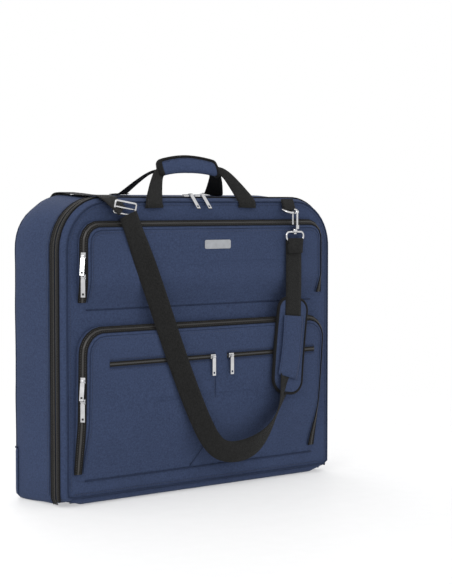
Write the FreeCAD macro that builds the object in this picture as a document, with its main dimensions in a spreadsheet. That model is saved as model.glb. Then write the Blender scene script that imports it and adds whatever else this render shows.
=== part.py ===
"""Garment bag, folded in half and standing on its fold.

A deep rear tray and a shallow front tray share one hinge line along the bottom.
The front tray carries two zipped pockets, the carry handle's grip and the shoulder strap.
Millimetres, +Z up, front face towards -Y, origin in the middle of the base.
"""

import FreeCAD, Part
import math
import os
import Sketcher
from FreeCAD import Rotation, Vector

SIZES = {
    # two trays
    "half_w": 306,
    "tray_high": 526,
    "rear_y": 66,
    "rear_depth": 116,
    "front_y": -52,
    "front_depth": 24,
    "front_low": 8.6,
    "corner_high": 90,
    "corner_low": 25,
    "wall": 3,
    "rear_wall": 4,
    "rim": 9,
    "face_inset": 8,
    "edge_depth": 12,
    "undercut_len": 8,
    "undercut_rise": 9,
    "floor": 9,
    # fold line
    "fold_y": -51,
    "fold_z": 4,
    "fold_r": 3.4,
    "spine_end": 28,
    "spine_flap": 4,
    # boards and linings
    "board_half_w": 280,
    "board_low": 30,
    "board_high": 500,
    "board_r": 60,
    "board_thick": 1.6,
    "gap": 0.2,
    "flap_half_w": 284,
    "flap_part": 0.5,
    "flap_low": 24,
    "flap_high": 496,
    "flap_r": 30,
    "flap_back": 6,
    "flap_thick": 1,
    # flat pieces inside the rear tray
    "inside_back": 4,
    "inside_low": 88,
    "inside_high": 376,
    "mesh_left": 50,
    "mesh_right": 235,
    "mesh_thick": 2,
    "inner_zip_left": -223,
    "inner_zip_right": -56,
    "inner_zip_thick": 3,
    "panel_r": 6,
    "band_half_w": 240,
    "band_low": 410,
    "band_high": 435,
    "buckle_half_w": 20,
    "buckle_rim": 6,
    "buckle_thick": 4,
    # zipper tapes and piping
    "tape_w": 14,
    "tape_thick": 1.4,
    "tape_low": 22,
    "pipe_w": 4,
    "pipe_thick": 2,
    # rear kick guard
    "guard_high": 92,
    "guard_depth": 45,
    "guard_thick": 3,
    # upper pocket
    "upper_half_w": 277,
    "upper_low": 334,
    "upper_high": 486,
    "upper_r": 36,
    "upper_thick": 17,
    # lower pocket
    "lower_half_w": 281,
    "lower_low": 42,
    "lower_high": 306,
    "lower_r": 45,
    "lower_thick": 20,
    "pocket_low_r": 14,
    "bevel_in": 12,
    "bevel_deep": 14,
    "zip_thick": 1.2,
    # small pockets on the lower pocket
    "small_zip_low": 236,
    "small_zip_high": 248,
    "small_left_a": -226,
    "small_left_b": 5,
    "small_right_a": 33,
    "small_right_b": 246,
    # blank badge
    "badge_x": 13,
    "badge_z": 443,
    "badge_half_w": 30,
    "badge_half_h": 11,
    # zipper sliders and their pulls
    "bar_r": 1,
    "eye_r": 1.06,
    "eye_out": 2,
    "eye_w": 4,
    "cheek": 1.2,
    "cheek_in": 2.4,
    "cheek_half": 1.6,
    "cheek_deep": 3.6,
    "bar_end": 3.4,
    "slide_w": 8,
    "slide_len": 11,
    "slide_thick": 3,
    "bar_out": 5,
    "pull_w": 7.5,
    "pull_thick": 1.6,
    "pull_len": 34,
    "pull_hole": 3.6,
    "pull_top": 1.8,
    "window_up": 3.2,
    "neck_len": 3,
    "neck_low": 3.4,
    "notch": 2.2,
    # main zipper sliders
    "main_left_x": -27,
    "main_right_x": -1,
    "main_bar_y": -68,
    "main_bar_z": 532,
    "main_arm": 21,
    "arm_start": 2.6,
    "arm_thick": 1.8,
    "arm_low": 1.4,
    "base_drop": 4.4,
    # carry handles
    "handle_x": -12,
    "foot_out": 129,
    "foot_in": 84,
    "grip_half": 70,
    "leg_in": 62,
    "leg_out": 77,
    "strip_h": 26,
    "handle_thick": 3,
    "front_foot_y": -83,
    "front_foot_z": 513,
    "front_reach": 88,
    "rear_foot_y": 22,
    "rear_foot_z": 528.4,
    "rear_reach": 76,
    "grip_thick": 12,
    "grip_low": 57,
    "grip_high": 92,
    # strap webbing
    "web_w": 38,
    "web_thick": 2,
    "strap_x": -214,
    "strap_top_z": 528.4,
    "run_back_y": 82,
    "run_back_z": 509,
    "run_front_y": -89,
    "run_front_z": 516,
    "run_out": 1.4,
    "adjuster_x": -191,
    "adjuster_y": -92.5,
    "adjuster_z": 508,
    "adjuster_half_w": 23,
    "adjuster_half_h": 11,
    "adjuster_thick": 3,
    "wire": 3.2,
    # shoulder pad
    "pad_x": 179,
    "pad_z": 252,
    "pad_half_w": 35,
    "pad_half_len": 86,
    "pad_thick": 5,
    "pad_r": 26,
    "sleeve_half_w": 23,
    "sleeve_half_len": 59,
    "sleeve_thick": 1.4,
    # ring and snap hook sets
    "ring_wire": 2,
    "ring_r": 17,
    "tab_w": 28,
    "tab_front": 3.3,
    "tab_back": 7,
    "tab_high": 12,
    "tab_low": 3.4,
    "hook_r": 6,
    "hook_wire": 2.2,
    "hook_y": -16,
    "hook_z": -6.2,
    "base_z": -35.3,
    "base_h": 7,
    "base_half": 7.8,
    "pin_r": 2,
    "head_r": 3.4,
    "tip_len": 2.6,
    "gate_r": 1.8,
    "gate_gap": 1.3,
    "boss_r": 5,
    "loop_rim": 3,
    "hook_base_w": 7,
    "pin_hole": 2.06,
    "pin_low": -43.8,
    "loop_low": -58.3,
    "loop_high": -36.8,
    "loop_half_w": 23,
    "front_ring_x": 192,
    "front_ring_y": -86,
    "front_ring_z": 504,
    "rear_ring_x": -214,
    "rear_ring_y": 74,
    "rear_ring_z": 445,
    # stowed hanging hook
    "hang_x": 0,
    "hang_y": -53,
    "hang_z": 505,
    "hang_wire": 2.4,
    "hang_r": 14,
    "hang_drop": 76,
    "hang_shank": 30,
    "link_r": 3.4,
    "link_wire": 1.1,
    "hang_tag": 20,
}

RING_TILT = 20  # degrees that the ring droops from level, under the hook's pull
FRONT_LEAN = -27  # degrees: the front handle leans back over the bag
REAR_LEAN = 48  # degrees: the rear handle leans forward to the grip
MAIN_PULL_TILT = -42  # degrees that the top pulls stand forward of hanging straight down
STRAP_TILT = 2.64  # degrees that the hanging strap comes forward towards the bottom
PAD_TURN = 8  # degrees that the rising webbing leans to the right
# x and z of the hanging strap's middle line, from the adjuster to the hook's loop
STRAP_ROUTE = (
    (-186, 497), (-141, 384), (-92, 250), (-48, 142), (-18, 92), (24, 74), (72, 76),
    (112, 98), (142, 136), (164, 186), (180, 250), (190, 352), (192, 445),
)
# The low slider is parked clear of the pull that hangs from the high one.
LOW_SLIDER_DROP = 36
ARC_SHARE = 0.45  # share of the shorter run next to a bend that its arc takes up
STRAP_Y_AT_TOP = -96
LINK_TOP = -26  # the first chain link below the hanging hook's anchor
LINK_STEP = 5.6

doc = FreeCAD.newDocument("garment_bag")
sheet = doc.addObject("Spreadsheet::Sheet", "Dims")
nodes = []


def fill_sheet():
    """Put every driving dimension in the sheet, one row each."""
    for row, (name, size) in enumerate(SIZES.items(), start=1):
        sheet.set(f"A{row}", name)
        sheet.set(f"B{row}", str(size))
        sheet.setAlias(f"B{row}", name)
    doc.recompute()


def value(text):
    """The number that a sum of sheet names and plain numbers comes to."""
    total, sign = 0.0, 1.0
    for word in str(text).split():
        if word in ("+", "-"):
            sign = 1.0 if word == "+" else -1.0
            continue
        total += sign * float(sheet.get(word) if word in SIZES else word)
        sign = 1.0
    return total


def bound(text):
    """The same sum as an expression that follows the sheet."""
    words = str(text).split()
    return " ".join("Dims." + word if word in SIZES else word for word in words)


def put(item, at):
    """Bind an object's position to three sums."""
    for axis, text in zip("xyz", at):
        item.setExpression("Placement.Base." + axis, bound(text))


def turn(item, axis, degrees):
    item.Placement.Rotation = Rotation(Vector(*axis), degrees)


def keep(item):
    """Count an object as a sub-part, written under its label."""
    nodes.append(item)
    return item


# ---------------------------------------------------------------- bodies and sketches


def new_body(label, at=("0", "0", "0")):
    body = doc.addObject("PartDesign::Body", label)
    body.Label = label
    put(body, at)
    return body


def new_sketch(body, role, shift="0"):
    """An empty sketch on one of the body's own origin planes."""
    sketch = body.newObject("Sketcher::SketchObject", body.Label + "_outline")
    plane = [item for item in body.Origin.OriginFeatures if item.Role == role][0]
    sketch.AttachmentSupport = [(plane, "")]
    sketch.MapMode = "FlatFace"
    sketch.setExpression("AttachmentOffset.Base.z", bound(shift))
    return sketch


def fix(sketch, kind, geo, point, text):
    """Hold a point at a signed distance from the sketch's origin."""
    size = value(text)
    if size < 0:
        index = sketch.addConstraint(Sketcher.Constraint(kind, geo, point, -1, 1, -size))
        sketch.setExpression(f"Constraints[{index}]", f"-({bound(text)})")
        return
    index = sketch.addConstraint(Sketcher.Constraint(kind, -1, 1, geo, point, size))
    sketch.setExpression(f"Constraints[{index}]", bound(text))


def rounded(body, sides, radii, shift="0"):
    """A rectangle with round corners; sides are left, right, low, high and radii low, high."""
    sketch = new_sketch(body, "XZ_Plane", shift)
    left, right, low, high = (value(side) for side in sides)
    r_low, r_high = (value(radius) for radius in radii)
    up = Vector(0, 0, 1)
    corners = (
        (right - r_low, low + r_low, r_low, -90),
        (right - r_high, high - r_high, r_high, 0),
        (left + r_high, high - r_high, r_high, 90),
        (left + r_low, low + r_low, r_low, 180),
    )
    arcs = []
    for x, y, radius, start in corners:
        circle = Part.Circle(Vector(x, y, 0), up, radius)
        arcs.append(Part.ArcOfCircle(circle, math.radians(start), math.radians(start + 90)))
    geometry = []
    for index, arc in enumerate(arcs):
        geometry.append(Part.LineSegment(arcs[index - 1].EndPoint, arc.StartPoint))
        geometry.append(arc)
    sketch.addGeometry(geometry, False)
    for index in range(8):
        sketch.addConstraint(Sketcher.Constraint("Tangent", index, 2, (index + 1) % 8, 1))
    for index, kind in ((0, "Horizontal"), (2, "Vertical"), (4, "Horizontal"), (6, "Vertical")):
        sketch.addConstraint(Sketcher.Constraint(kind, index))
    for arc, radius in ((1, radii[0]), (3, radii[1]), (5, radii[1]), (7, radii[0])):
        index = sketch.addConstraint(Sketcher.Constraint("Radius", arc, value(radius)))
        sketch.setExpression(f"Constraints[{index}]", bound(radius))
    fix(sketch, "DistanceX", 6, 1, sides[0])
    fix(sketch, "DistanceX", 2, 1, sides[1])
    fix(sketch, "DistanceY", 0, 1, sides[2])
    fix(sketch, "DistanceY", 4, 1, sides[3])
    return sketch


def polygon(body, role, points, shift="0"):
    """A closed outline of straight lines through points given as pairs of sums."""
    sketch = new_sketch(body, role, shift)
    corners = [Vector(value(a), value(b), 0) for a, b in points]
    count = len(corners)
    for index, corner in enumerate(corners):
        sketch.addGeometry(Part.LineSegment(corner, corners[(index + 1) % count]), False)
    for index in range(count):
        following = (index + 1) % count
        sketch.addConstraint(Sketcher.Constraint("Coincident", index, 2, following, 1))
    for index, (a, b) in enumerate(points):
        fix(sketch, "DistanceX", index, 1, a)
        fix(sketch, "DistanceY", index, 1, b)
    return sketch


def pad(body, sketch, length, both=False):
    feature = body.newObject("PartDesign::Pad", body.Label + "_pad")
    feature.Profile = sketch
    feature.setExpression("Length", bound(length))
    feature.Midplane = both
    doc.recompute()
    return feature


def pocket(body, sketch, length, backwards=False, both=False):
    """Cut the sketch out of the body, and make sure that it cut something."""
    before = body.Shape.Volume
    feature = body.newObject("PartDesign::Pocket", body.Label + "_pocket")
    feature.Profile = sketch
    feature.setExpression("Length", bound(length))
    feature.Reversed = backwards
    feature.Midplane = both
    doc.recompute()
    if body.Shape.Volume >= before - 1:
        raise RuntimeError(body.Label + ": the pocket cuts nothing")
    return feature


def grow(sides, margin):
    """The sides of an outline moved outwards by one name, or inwards by "- " and a name."""
    left, right, low, high = sides
    sign, other = ("+", "-") if not margin.startswith("- ") else ("-", "+")
    plain = margin[2:] if margin.startswith("- ") else margin
    return (f"{left} {other} {plain}", f"{right} {sign} {plain}",
            f"{low} {other} {plain}", f"{high} {sign} {plain}")


def panel(label, y, sides, radii, depth):
    """A plate standing in the XZ plane, from y forwards by its depth."""
    body = new_body(label, ("0", y, "0"))
    pad(body, rounded(body, sides, radii), depth)
    return keep(body)


def bevel(body, depth, inward, back):
    """Chamfer every edge of the body's front face, at the given depth."""
    solid = body.Tip
    reach = value(depth)
    front = [
        f"Face{index}" for index, face in enumerate(solid.Shape.Faces, start=1)
        if abs(face.BoundBox.YMax + reach) < 0.01
    ]
    feature = body.newObject("PartDesign::Chamfer", body.Label + "_bevel")
    feature.Base = (solid, front)
    feature.ChamferType = "Two distances"
    # the first distance is measured along the side wall, the second along the front face
    feature.setExpression("Size", bound(back))
    feature.setExpression("Size2", bound(inward))
    doc.recompute()
    faces = [face.BoundBox for face in feature.Shape.Faces]
    front_face = [box for box in faces if abs(box.YMax + reach) < 0.01][0]
    inset = front_face.XMin - feature.Shape.BoundBox.XMin
    if abs(inset - value(inward)) > 0.01:
        raise RuntimeError(f"{body.Label}: the bevel goes {inset} inwards")


def arch(label, y, sides, radii, depth, band, open_low=True):
    """A panel with its middle cut out: a zipper band or a bead round an outline."""
    body = panel(label, y, sides, radii, depth)
    left, right, low, high = grow(sides, "- " + band)
    low = f"{sides[2]} - 5" if open_low else low
    inner_low = "1" if open_low else f"{radii[0]} - {band}"
    inside = rounded(body, (left, right, low, high), (inner_low, f"{radii[1]} - {band}"))
    pocket(body, inside, f"{depth} + 1", backwards=True)
    return body


# ---------------------------------------------------------------- primitives


def block(label, size, at):
    item = doc.addObject("Part::Box", label)
    for key, text in zip(("Length", "Width", "Height"), size):
        item.setExpression(key, bound(text))
    put(item, at)
    return item


def rod(label, radius, length, at, axis="z"):
    item = doc.addObject("Part::Cylinder", label)
    item.setExpression("Radius", bound(radius))
    item.setExpression("Height", bound(length))
    if axis == "x":
        turn(item, (0, 1, 0), 90)
    put(item, at)
    return item


def half_ring(label, radius, wire, at, rotation, sweep=180):
    item = doc.addObject("Part::Torus", label)
    item.setExpression("Radius1", bound(radius))
    item.setExpression("Radius2", bound(wire))
    item.Angle3 = sweep
    item.Placement.Rotation = rotation
    put(item, at)
    return item


def joined(label, pieces):
    item = doc.addObject("Part::MultiFuse", label)
    item.Label = label
    item.Shapes = pieces
    return item


def without(label, base, tools):
    item = doc.addObject("Part::Cut", label)
    item.Label = label
    item.Base = base
    item.Tool = tools[0] if len(tools) == 1 else joined(label + "_tools", tools)
    return item


# ---------------------------------------------------------------- rear tray


TRAY = ("- half_w", "half_w", "0", "tray_high")
TRAY_RADII = ("corner_low", "corner_high")
FRONT_TRAY = ("- half_w", "half_w", "front_low", "tray_high")


def rear_tray():
    """The deep half: open to the front, with a flat base that lifts at its front edge."""
    body = panel("back_shell", "rear_y", TRAY, TRAY_RADII, "rear_depth")
    left, right, low, high = grow(TRAY, "- rear_wall")
    inside = (left, right, "floor", high)
    radii = ("corner_low - rear_wall", "corner_high - rear_wall")
    pocket(body, rounded(body, inside, radii, "rear_depth"), "rear_depth - rear_wall")
    lift = polygon(body, "YZ_Plane", (
        ("- rear_depth - 1", "- 1"),
        ("- rear_depth + undercut_len", "- 1"),
        ("- rear_depth + undercut_len", "0"),
        ("- rear_depth - 1", "undercut_rise"),
    ))
    pocket(body, lift, "half_w + half_w + 2", both=True)


def rear_fittings():
    """Board, inside pockets, garment band, kick guard and zipper tape of the rear tray."""
    board = ("- board_half_w", "board_half_w", "board_low", "board_high")
    radii = ("pocket_low_r", "board_r")
    panel("back_board", "rear_y - rear_wall - gap", board, radii, "board_thick")
    inside = "rear_y - rear_wall - inside_back"
    for name, left, right in (("mesh", "mesh_left", "mesh_right"),
                              ("inner_zip", "inner_zip_left", "inner_zip_right")):
        panel(f"{name}_pocket", inside, (left, right, "inside_low", "inside_high"),
              ("panel_r", "panel_r"), f"{name}_thick")
    band = ("- band_half_w", "band_half_w", "band_low", "band_high")
    panel("retaining_band", inside, band, ("wall", "wall"), "mesh_thick")
    buckle = ("- buckle_half_w", "buckle_half_w",
              "band_low - buckle_rim", "band_high + buckle_rim")
    panel("band_buckle", f"{inside} - mesh_thick - gap - gap", buckle,
          ("wall", "wall"), "buckle_thick")
    guard = panel(
        "kick_guard", "rear_y + guard_thick",
        ("- half_w - guard_thick", "half_w + guard_thick", "1", "guard_high"),
        ("corner_low", "4"), "guard_depth",
    )
    hollow = grow(TRAY, "gap")
    inside = (hollow[0], hollow[1], "- 2", "guard_high + 20")
    pocket(guard, rounded(guard, inside, ("corner_low + 2", "4"), "guard_depth"),
           "guard_depth - guard_thick + gap")
    rim = grow(grow(("- half_w", "half_w", "tape_low", "tray_high"), "gap"), "tape_thick")
    arch("main_zip_rear", "fold_y + 1 + tape_w", rim,
         ("2", "corner_high + tape_thick + gap"), "tape_w", "tape_thick")


def fold_spine():
    """The bound fold: a soft rod on the hinge line with a flap back under the rear tray."""
    length = "half_w + half_w - spine_end - spine_end"
    start = "- half_w + spine_end"
    core = rod("spine_rod", "fold_r", length, (start, "fold_y", "fold_z"), "x")
    flap = block("spine_flap", (length, "spine_flap", "mesh_thick"),
                 (start, "fold_y", "fold_z - mesh_thick"))
    keep(joined("fold_spine", [core, flap]))


# ---------------------------------------------------------------- front tray


def front_tray():
    """The shallow half: open to the rear, its front edge bevelled all round."""
    body = panel("front_shell", "front_y", FRONT_TRAY, TRAY_RADII, "front_depth")
    bevel(body, "front_depth", "face_inset", "edge_depth")
    radii = ("corner_low - rim", "corner_high - rim")
    inside = rounded(body, grow(FRONT_TRAY, "- rim"), radii)
    pocket(body, inside, "front_depth - wall", backwards=True)


def front_fittings():
    """Board and garment flaps inside; zipper tape and piping outside."""
    board = ("- board_half_w", "board_half_w", "board_low", "board_high")
    radii = ("pocket_low_r", "board_r")
    panel("front_board", "front_y - front_depth + wall + gap + 2", board, radii, "board_thick")
    for side, left, right in (
        ("left", "- flap_half_w", "- flap_part"), ("right", "flap_part", "flap_half_w"),
    ):
        panel(f"inner_flap_{side}", "front_y - flap_back",
              (left, right, "flap_low", "flap_high"), ("panel_r", "flap_r"), "flap_thick")
    rim = grow(grow(("- half_w", "half_w", "tape_low", "tray_high"), "gap"), "tape_thick")
    arch("main_zip_front", "front_y", rim,
         ("2", "corner_high + tape_thick + gap"), "tape_w - 3", "tape_thick")
    bead = grow(FRONT_TRAY, "- face_inset")
    arch("front_piping", "front_y - front_depth", bead,
         ("corner_low - face_inset", "corner_high - face_inset"), "pipe_thick", "pipe_w", False)


def zipper_skin(label, y, sides, radii, depth):
    """The zipper band on a pocket's bevelled edge: a thin skin left open along the bottom."""
    shells = []
    for part, margin in (("outer", "gap + zip_thick"), ("inner", "gap")):
        body = new_body(f"{label}_{part}", ("0", y, "0"))
        grown = grow(sides, "gap") if part == "inner" else grow(grow(sides, "gap"), "zip_thick")
        round_corners = (f"{radii[0]} + {margin}", f"{radii[1]} + {margin}")
        pad(body, rounded(body, grown, round_corners), depth)
        bevel(body, depth, "bevel_in", "bevel_deep")
        shells.append(body)
    opening = block(f"{label}_opening", ("half_w + half_w", "60", "30"),
                    ("- half_w", f"{y} - 40", f"{sides[2]} - 26"))
    keep(without(label, shells[0], [shells[1], opening]))


def pockets():
    """Two box pockets on the front panel, each with a zipper band on its bevelled edge."""
    front = "front_y - front_depth - gap"
    upper = ("- upper_half_w", "upper_half_w", "upper_low", "upper_high")
    lower = ("- lower_half_w", "lower_half_w", "lower_low", "lower_high")
    for name, sides in (("upper", upper), ("lower", lower)):
        radii = ("pocket_low_r", f"{name}_r")
        body = panel(f"{name}_pocket", front, sides, radii, f"{name}_thick")
        bevel(body, f"{name}_thick", "bevel_in", "bevel_deep")
        zipper_skin(f"{name}_pocket_zip", front, sides, radii, f"{name}_thick")
    face = f"{front} - lower_thick"
    for side in ("left", "right"):
        sides = (f"small_{side}_a", f"small_{side}_b", "small_zip_low", "small_zip_high")
        panel(f"small_zip_{side}", face, sides, ("5", "5"), "zip_thick")
    badge = ("badge_x - badge_half_w", "badge_x + badge_half_w",
             "badge_z - badge_half_h", "badge_z + badge_half_h")
    panel("badge_plate", f"{front} - upper_thick", badge, ("3", "3"), "zip_thick")


# ---------------------------------------------------------------- sliders and pulls


def minus_half(name):
    """Half of a named size, backwards: where a centred block starts."""
    return f"- {value(name) / 2}"


def bar_and_cheeks(label, deep, half):
    """The bar that holds the pull and the two cheeks that hold the bar."""
    pieces = [rod(label + "_bar", "bar_r", "bar_end + bar_end", ("- bar_end", "0", "0"), "x")]
    for index, x in enumerate(("cheek_in", "- cheek_in - cheek")):
        pieces.append(block(f"{label}_cheek{index}", ("cheek", deep, f"{half} + {half}"),
                            (x, "- cheek", f"- {half}")))
    return pieces


def slider(label, at, sideways=False, facing=0):
    """A zipper slider; its own origin is the middle of the bar that holds the pull."""
    wide, tall = ("slide_len", "slide_w") if sideways else ("slide_w", "slide_len")
    base = block(label + "_base", (wide, "slide_thick", tall),
                 (minus_half(wide), "bar_out - slide_thick", minus_half(tall)))
    item = keep(joined(label, [base] + bar_and_cheeks(label, "cheek_deep", "cheek_half")))
    turn(item, (0, 0, 1), facing)
    put(item, at)


def main_slider(label, at):
    """A slider on the top edge: its arm brings the pull's bar forward to the front edge."""
    base = block(label + "_base", ("slide_len", "slide_w", "slide_thick"),
                 (minus_half("slide_len"), "main_arm - slide_w", "- base_drop"))
    arm = block(label + "_arm",
                ("cheek_in + cheek_in + cheek + cheek", "main_arm - arm_start", "arm_thick"),
                ("- cheek_in - cheek", "arm_start", "- arm_low"))
    sides = bar_and_cheeks(label, "arm_start + arm_thick", "cheek_half")
    item = keep(joined(label, [base, arm] + sides))
    put(item, at)


def pull(label, at, tilt=0, facing=0):
    """A flat pull with a square window, its eye running on the slider's bar."""
    left, back = minus_half("eye_w"), minus_half("pull_thick")
    eye = rod(label + "_eye", "eye_out", "eye_w", (left, "0", "0"), "x")
    tab = block(label + "_tab", ("pull_w", "pull_thick", "pull_len - pull_top"),
                (minus_half("pull_w"), back, "- pull_len"))
    neck = block(label + "_neck", ("eye_w", "pull_thick", "neck_len"), (left, back, "- neck_low"))
    trims = [
        rod(label + "_hole", "eye_r", "eye_w + 2", (f"{left} - 1", "0", "0"), "x"),
        block(label + "_window", ("pull_hole", "4", "pull_hole"),
              (minus_half("pull_hole"), "- 2", "- pull_len + window_up")),
        block(label + "_notch_a", ("3", "4", "notch"), (str(-value(left)), "- 2", "- neck_low")),
        block(label + "_notch_b", ("3", "4", "notch"), (f"{left} - 3", "- 2", "- neck_low")),
    ]
    item = keep(without(label, joined(label + "_blank", [eye, tab, neck]), trims))
    across, up = Vector(1, 0, 0), Vector(0, 0, 1)
    item.Placement.Rotation = Rotation(up, facing) * Rotation(across, tilt)
    put(item, at)


def zipper_sliders():
    """Every slider with its pull: two on the main zipper, two per big pocket, one per small."""
    for side in ("left", "right"):
        place = (f"main_{side}_x", "main_bar_y", "main_bar_z")
        main_slider(f"main_slider_{side}", place)
        pull(f"main_pull_{side}", place, MAIN_PULL_TILT)
    front = "front_y - front_depth - gap"
    facing = math.atan2(value("bevel_deep"), value("bevel_in"))
    stand_off = value("zip_thick + gap + gap + bar_out")
    for name, level in (("upper", 428), ("lower", 217)):
        x = f"- {name}_half_w + {value('bevel_in') / 2 - stand_off * math.sin(facing)}"
        deep = value("bevel_deep") / 2 - stand_off * math.cos(facing)
        y = f"{front} - {name}_thick + {deep}"
        for rank, drop in (("high", 0), ("low", LOW_SLIDER_DROP)):
            place = (x, y, str(level - drop))
            slider(f"{name}_slider_{rank}", place, facing=-math.degrees(facing))
            # the higher pull lies over the lower slider, so it stands a little forward
            pull(f"{name}_pull_{rank}", place, -14 if rank == "high" else 0,
                 facing=-math.degrees(facing))
        print(name, "leg sliders at", round(value(x), 2), round(value(y), 2),
              "facing", round(math.degrees(facing), 2))
    y = f"{front} - lower_thick - zip_thick - gap - bar_out"
    for side, x in (("left", "small_left_b - 7"), ("right", "small_right_a + 7")):
        place = (x, y, "small_zip_low + 6")
        slider(f"small_slider_{side}", place, sideways=True)
        pull(f"small_pull_{side}", place)


# ---------------------------------------------------------------- carry handles


def handle(label, foot_y, foot_z, reach, lean):
    """A webbing handle cut as one flat frame: two spread feet and a strip across the top."""
    body = new_body(label, ("handle_x", foot_y, foot_z))
    turn(body, (1, 0, 0), lean)
    put(body, ("handle_x", foot_y, foot_z))
    rows = (
        ("foot_out", "0"), ("leg_out", f"{reach} - strip_h"), ("grip_half", reach),
        ("- grip_half", reach), ("- leg_out", f"{reach} - strip_h"), ("- foot_out", "0"),
        ("- foot_in", "0"), ("- leg_in", f"{reach} - strip_h"),
        ("leg_in", f"{reach} - strip_h"), ("foot_in", "0"),
    )
    pad(body, polygon(body, "XZ_Plane", rows), "handle_thick", both=True)
    return keep(body)


def carry_handles():
    """Both handles and the padded grip, which wraps the front one's strip."""
    handle("front_handle", "front_foot_y", "front_foot_z", "front_reach", FRONT_LEAN)
    handle("rear_handle", "rear_foot_y", "rear_foot_z", "rear_reach", REAR_LEAN)
    grip = new_body("handle_grip")
    turn(grip, (1, 0, 0), FRONT_LEAN)
    put(grip, ("handle_x", "front_foot_y", "front_foot_z"))
    outer = ("- grip_half + 1", "grip_half - 1", "grip_low", "grip_high")
    pad(grip, rounded(grip, outer, ("8", "8")), "grip_thick", both=True)
    slot = ("- leg_out - 2", "leg_out + 2", "front_reach - strip_h - gap", "front_reach + gap")
    pocket(grip, rounded(grip, slot, ("1", "1")), "handle_thick + gap + gap", both=True)
    keep(grip)


# ---------------------------------------------------------------- shoulder strap


def over_top(label, points):
    """Webbing folded over the top edge, as an outline in YZ padded to the webbing's width."""
    body = new_body(label, ("strap_x", "0", "0"))
    pad(body, polygon(body, "YZ_Plane", points), "web_w", both=True)
    return keep(body)


def strap_over_top():
    """The strap behind and over the bag, parted where the two halves open."""
    lift = "strap_top_z + web_thick"
    over_top("strap_rear_run", (
        ("fold_y + 1", "strap_top_z"), ("rear_y + 1", "strap_top_z"),
        ("run_back_y", "run_back_z"), ("run_back_y + run_out", "run_back_z + run_out"),
        ("rear_y + 2", lift), ("fold_y + 1", lift),
    ))
    over_top("strap_front_run", (
        ("fold_y - 1", "strap_top_z"), ("fold_y - 15", "strap_top_z"),
        ("run_front_y", "run_front_z"), ("run_front_y - run_out", "run_front_z + run_out"),
        ("fold_y - 16", lift), ("fold_y - 1", lift),
    ))


def adjuster():
    """A rectangular slide with a middle bar, in front of the top edge."""
    body = new_body("strap_adjuster", ("adjuster_x", "adjuster_y", "adjuster_z"))
    sides = ("- adjuster_half_w", "adjuster_half_w", "- adjuster_half_h", "adjuster_half_h")
    pad(body, rounded(body, sides, ("3", "3")), "adjuster_thick", both=True)
    left, right, low, high = grow(sides, "- wire")
    for below, above in ((low, "- 1.6"), ("1.6", high)):
        hole = rounded(body, (left, right, below, above), ("1", "1"))
        pocket(body, hole, "adjuster_thick + 2", both=True)
    keep(body)


def arc_route(points):
    """Straight runs joined by tangent arcs, as one wire, and the arcs' radii."""
    edges, radii, start = [], [], points[0]
    for before, corner, after in zip(points, points[1:], points[2:]):
        arriving, leaving = before - corner, after - corner
        cut = ARC_SHARE * min(arriving.Length, leaving.Length)
        arriving.normalize()
        leaving.normalize()
        half = arriving.getAngle(leaving) / 2
        radius = cut * math.tan(half)
        centre = corner + (arriving + leaving).normalize() * (radius / math.sin(half))
        first, last = corner + arriving * cut, corner + leaving * cut
        middle = centre + (corner - centre).normalize() * radius
        edges.append(Part.makeLine(start, first))
        edges.append(Part.Arc(first, middle, last).toShape())
        radii.append(radius)
        start = last
    edges.append(Part.makeLine(start, points[-1]))
    return Part.Wire(edges), radii


def hanging_strap():
    """The loose webbing: down from the adjuster, round a low bend and up to the hook's loop."""
    lean = math.tan(math.radians(STRAP_TILT))
    top = STRAP_ROUTE[0][1]
    route = [Vector(x, STRAP_Y_AT_TOP - lean * (top - z), z) for x, z in STRAP_ROUTE]
    path, radii = arc_route(route)
    wide, thick = value("web_w"), value("web_thick")
    along = (route[1] - route[0]).normalize()
    out = Vector(0, -math.cos(math.radians(STRAP_TILT)), math.sin(math.radians(STRAP_TILT)))
    across = along.cross(out).normalize()
    corner = route[0] - across * (wide / 2) - out * (thick / 2)
    ring = [corner, corner + across * wide, corner + across * wide + out * thick,
            corner + out * thick, corner]
    web = Part.Wire(Part.makePolygon(ring)).copy()
    solid = Part.Wire(path).makePipeShell([web], True, False)
    expected = wide * thick * path.Length
    if abs(solid.Volume - expected) > 0.01 * expected:
        raise RuntimeError("the strap's volume is not its section times its length")
    item = doc.addObject("Part::Feature", "shoulder_strap")
    item.Label = "shoulder_strap"
    item.Shape = solid
    item.Placement = FreeCAD.Placement()
    print("strap length", round(path.Length, 1), "bend radii", [round(size) for size in radii])
    keep(item)


def shoulder_pad():
    """The pad behind the rising webbing and the sleeve that holds the webbing to it."""
    rise = Rotation(Vector(1, 0, 0), -STRAP_TILT) * Rotation(Vector(0, 1, 0), PAD_TURN)
    depth = STRAP_Y_AT_TOP - math.tan(math.radians(STRAP_TILT)) * (STRAP_ROUTE[0][1] - SIZES["pad_z"])
    for label, half_w, half_len, thick, back, radius in (
        ("shoulder_pad", "pad_half_w", "pad_half_len", "pad_thick", "1.4 + pad_thick", "pad_r"),
        ("pad_sleeve", "sleeve_half_w", "sleeve_half_len", "sleeve_thick", "- 1.3", "4"),
    ):
        body = new_body(label)
        body.Placement.Rotation = rise
        put(body, ("pad_x", f"{back} + {depth}", "pad_z"))
        sides = (f"- {half_w}", half_w, f"- {half_len}", half_len)
        pad(body, rounded(body, sides, (radius, radius)), thick)
        keep(body)


# ---------------------------------------------------------------- rings and snap hooks


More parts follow.
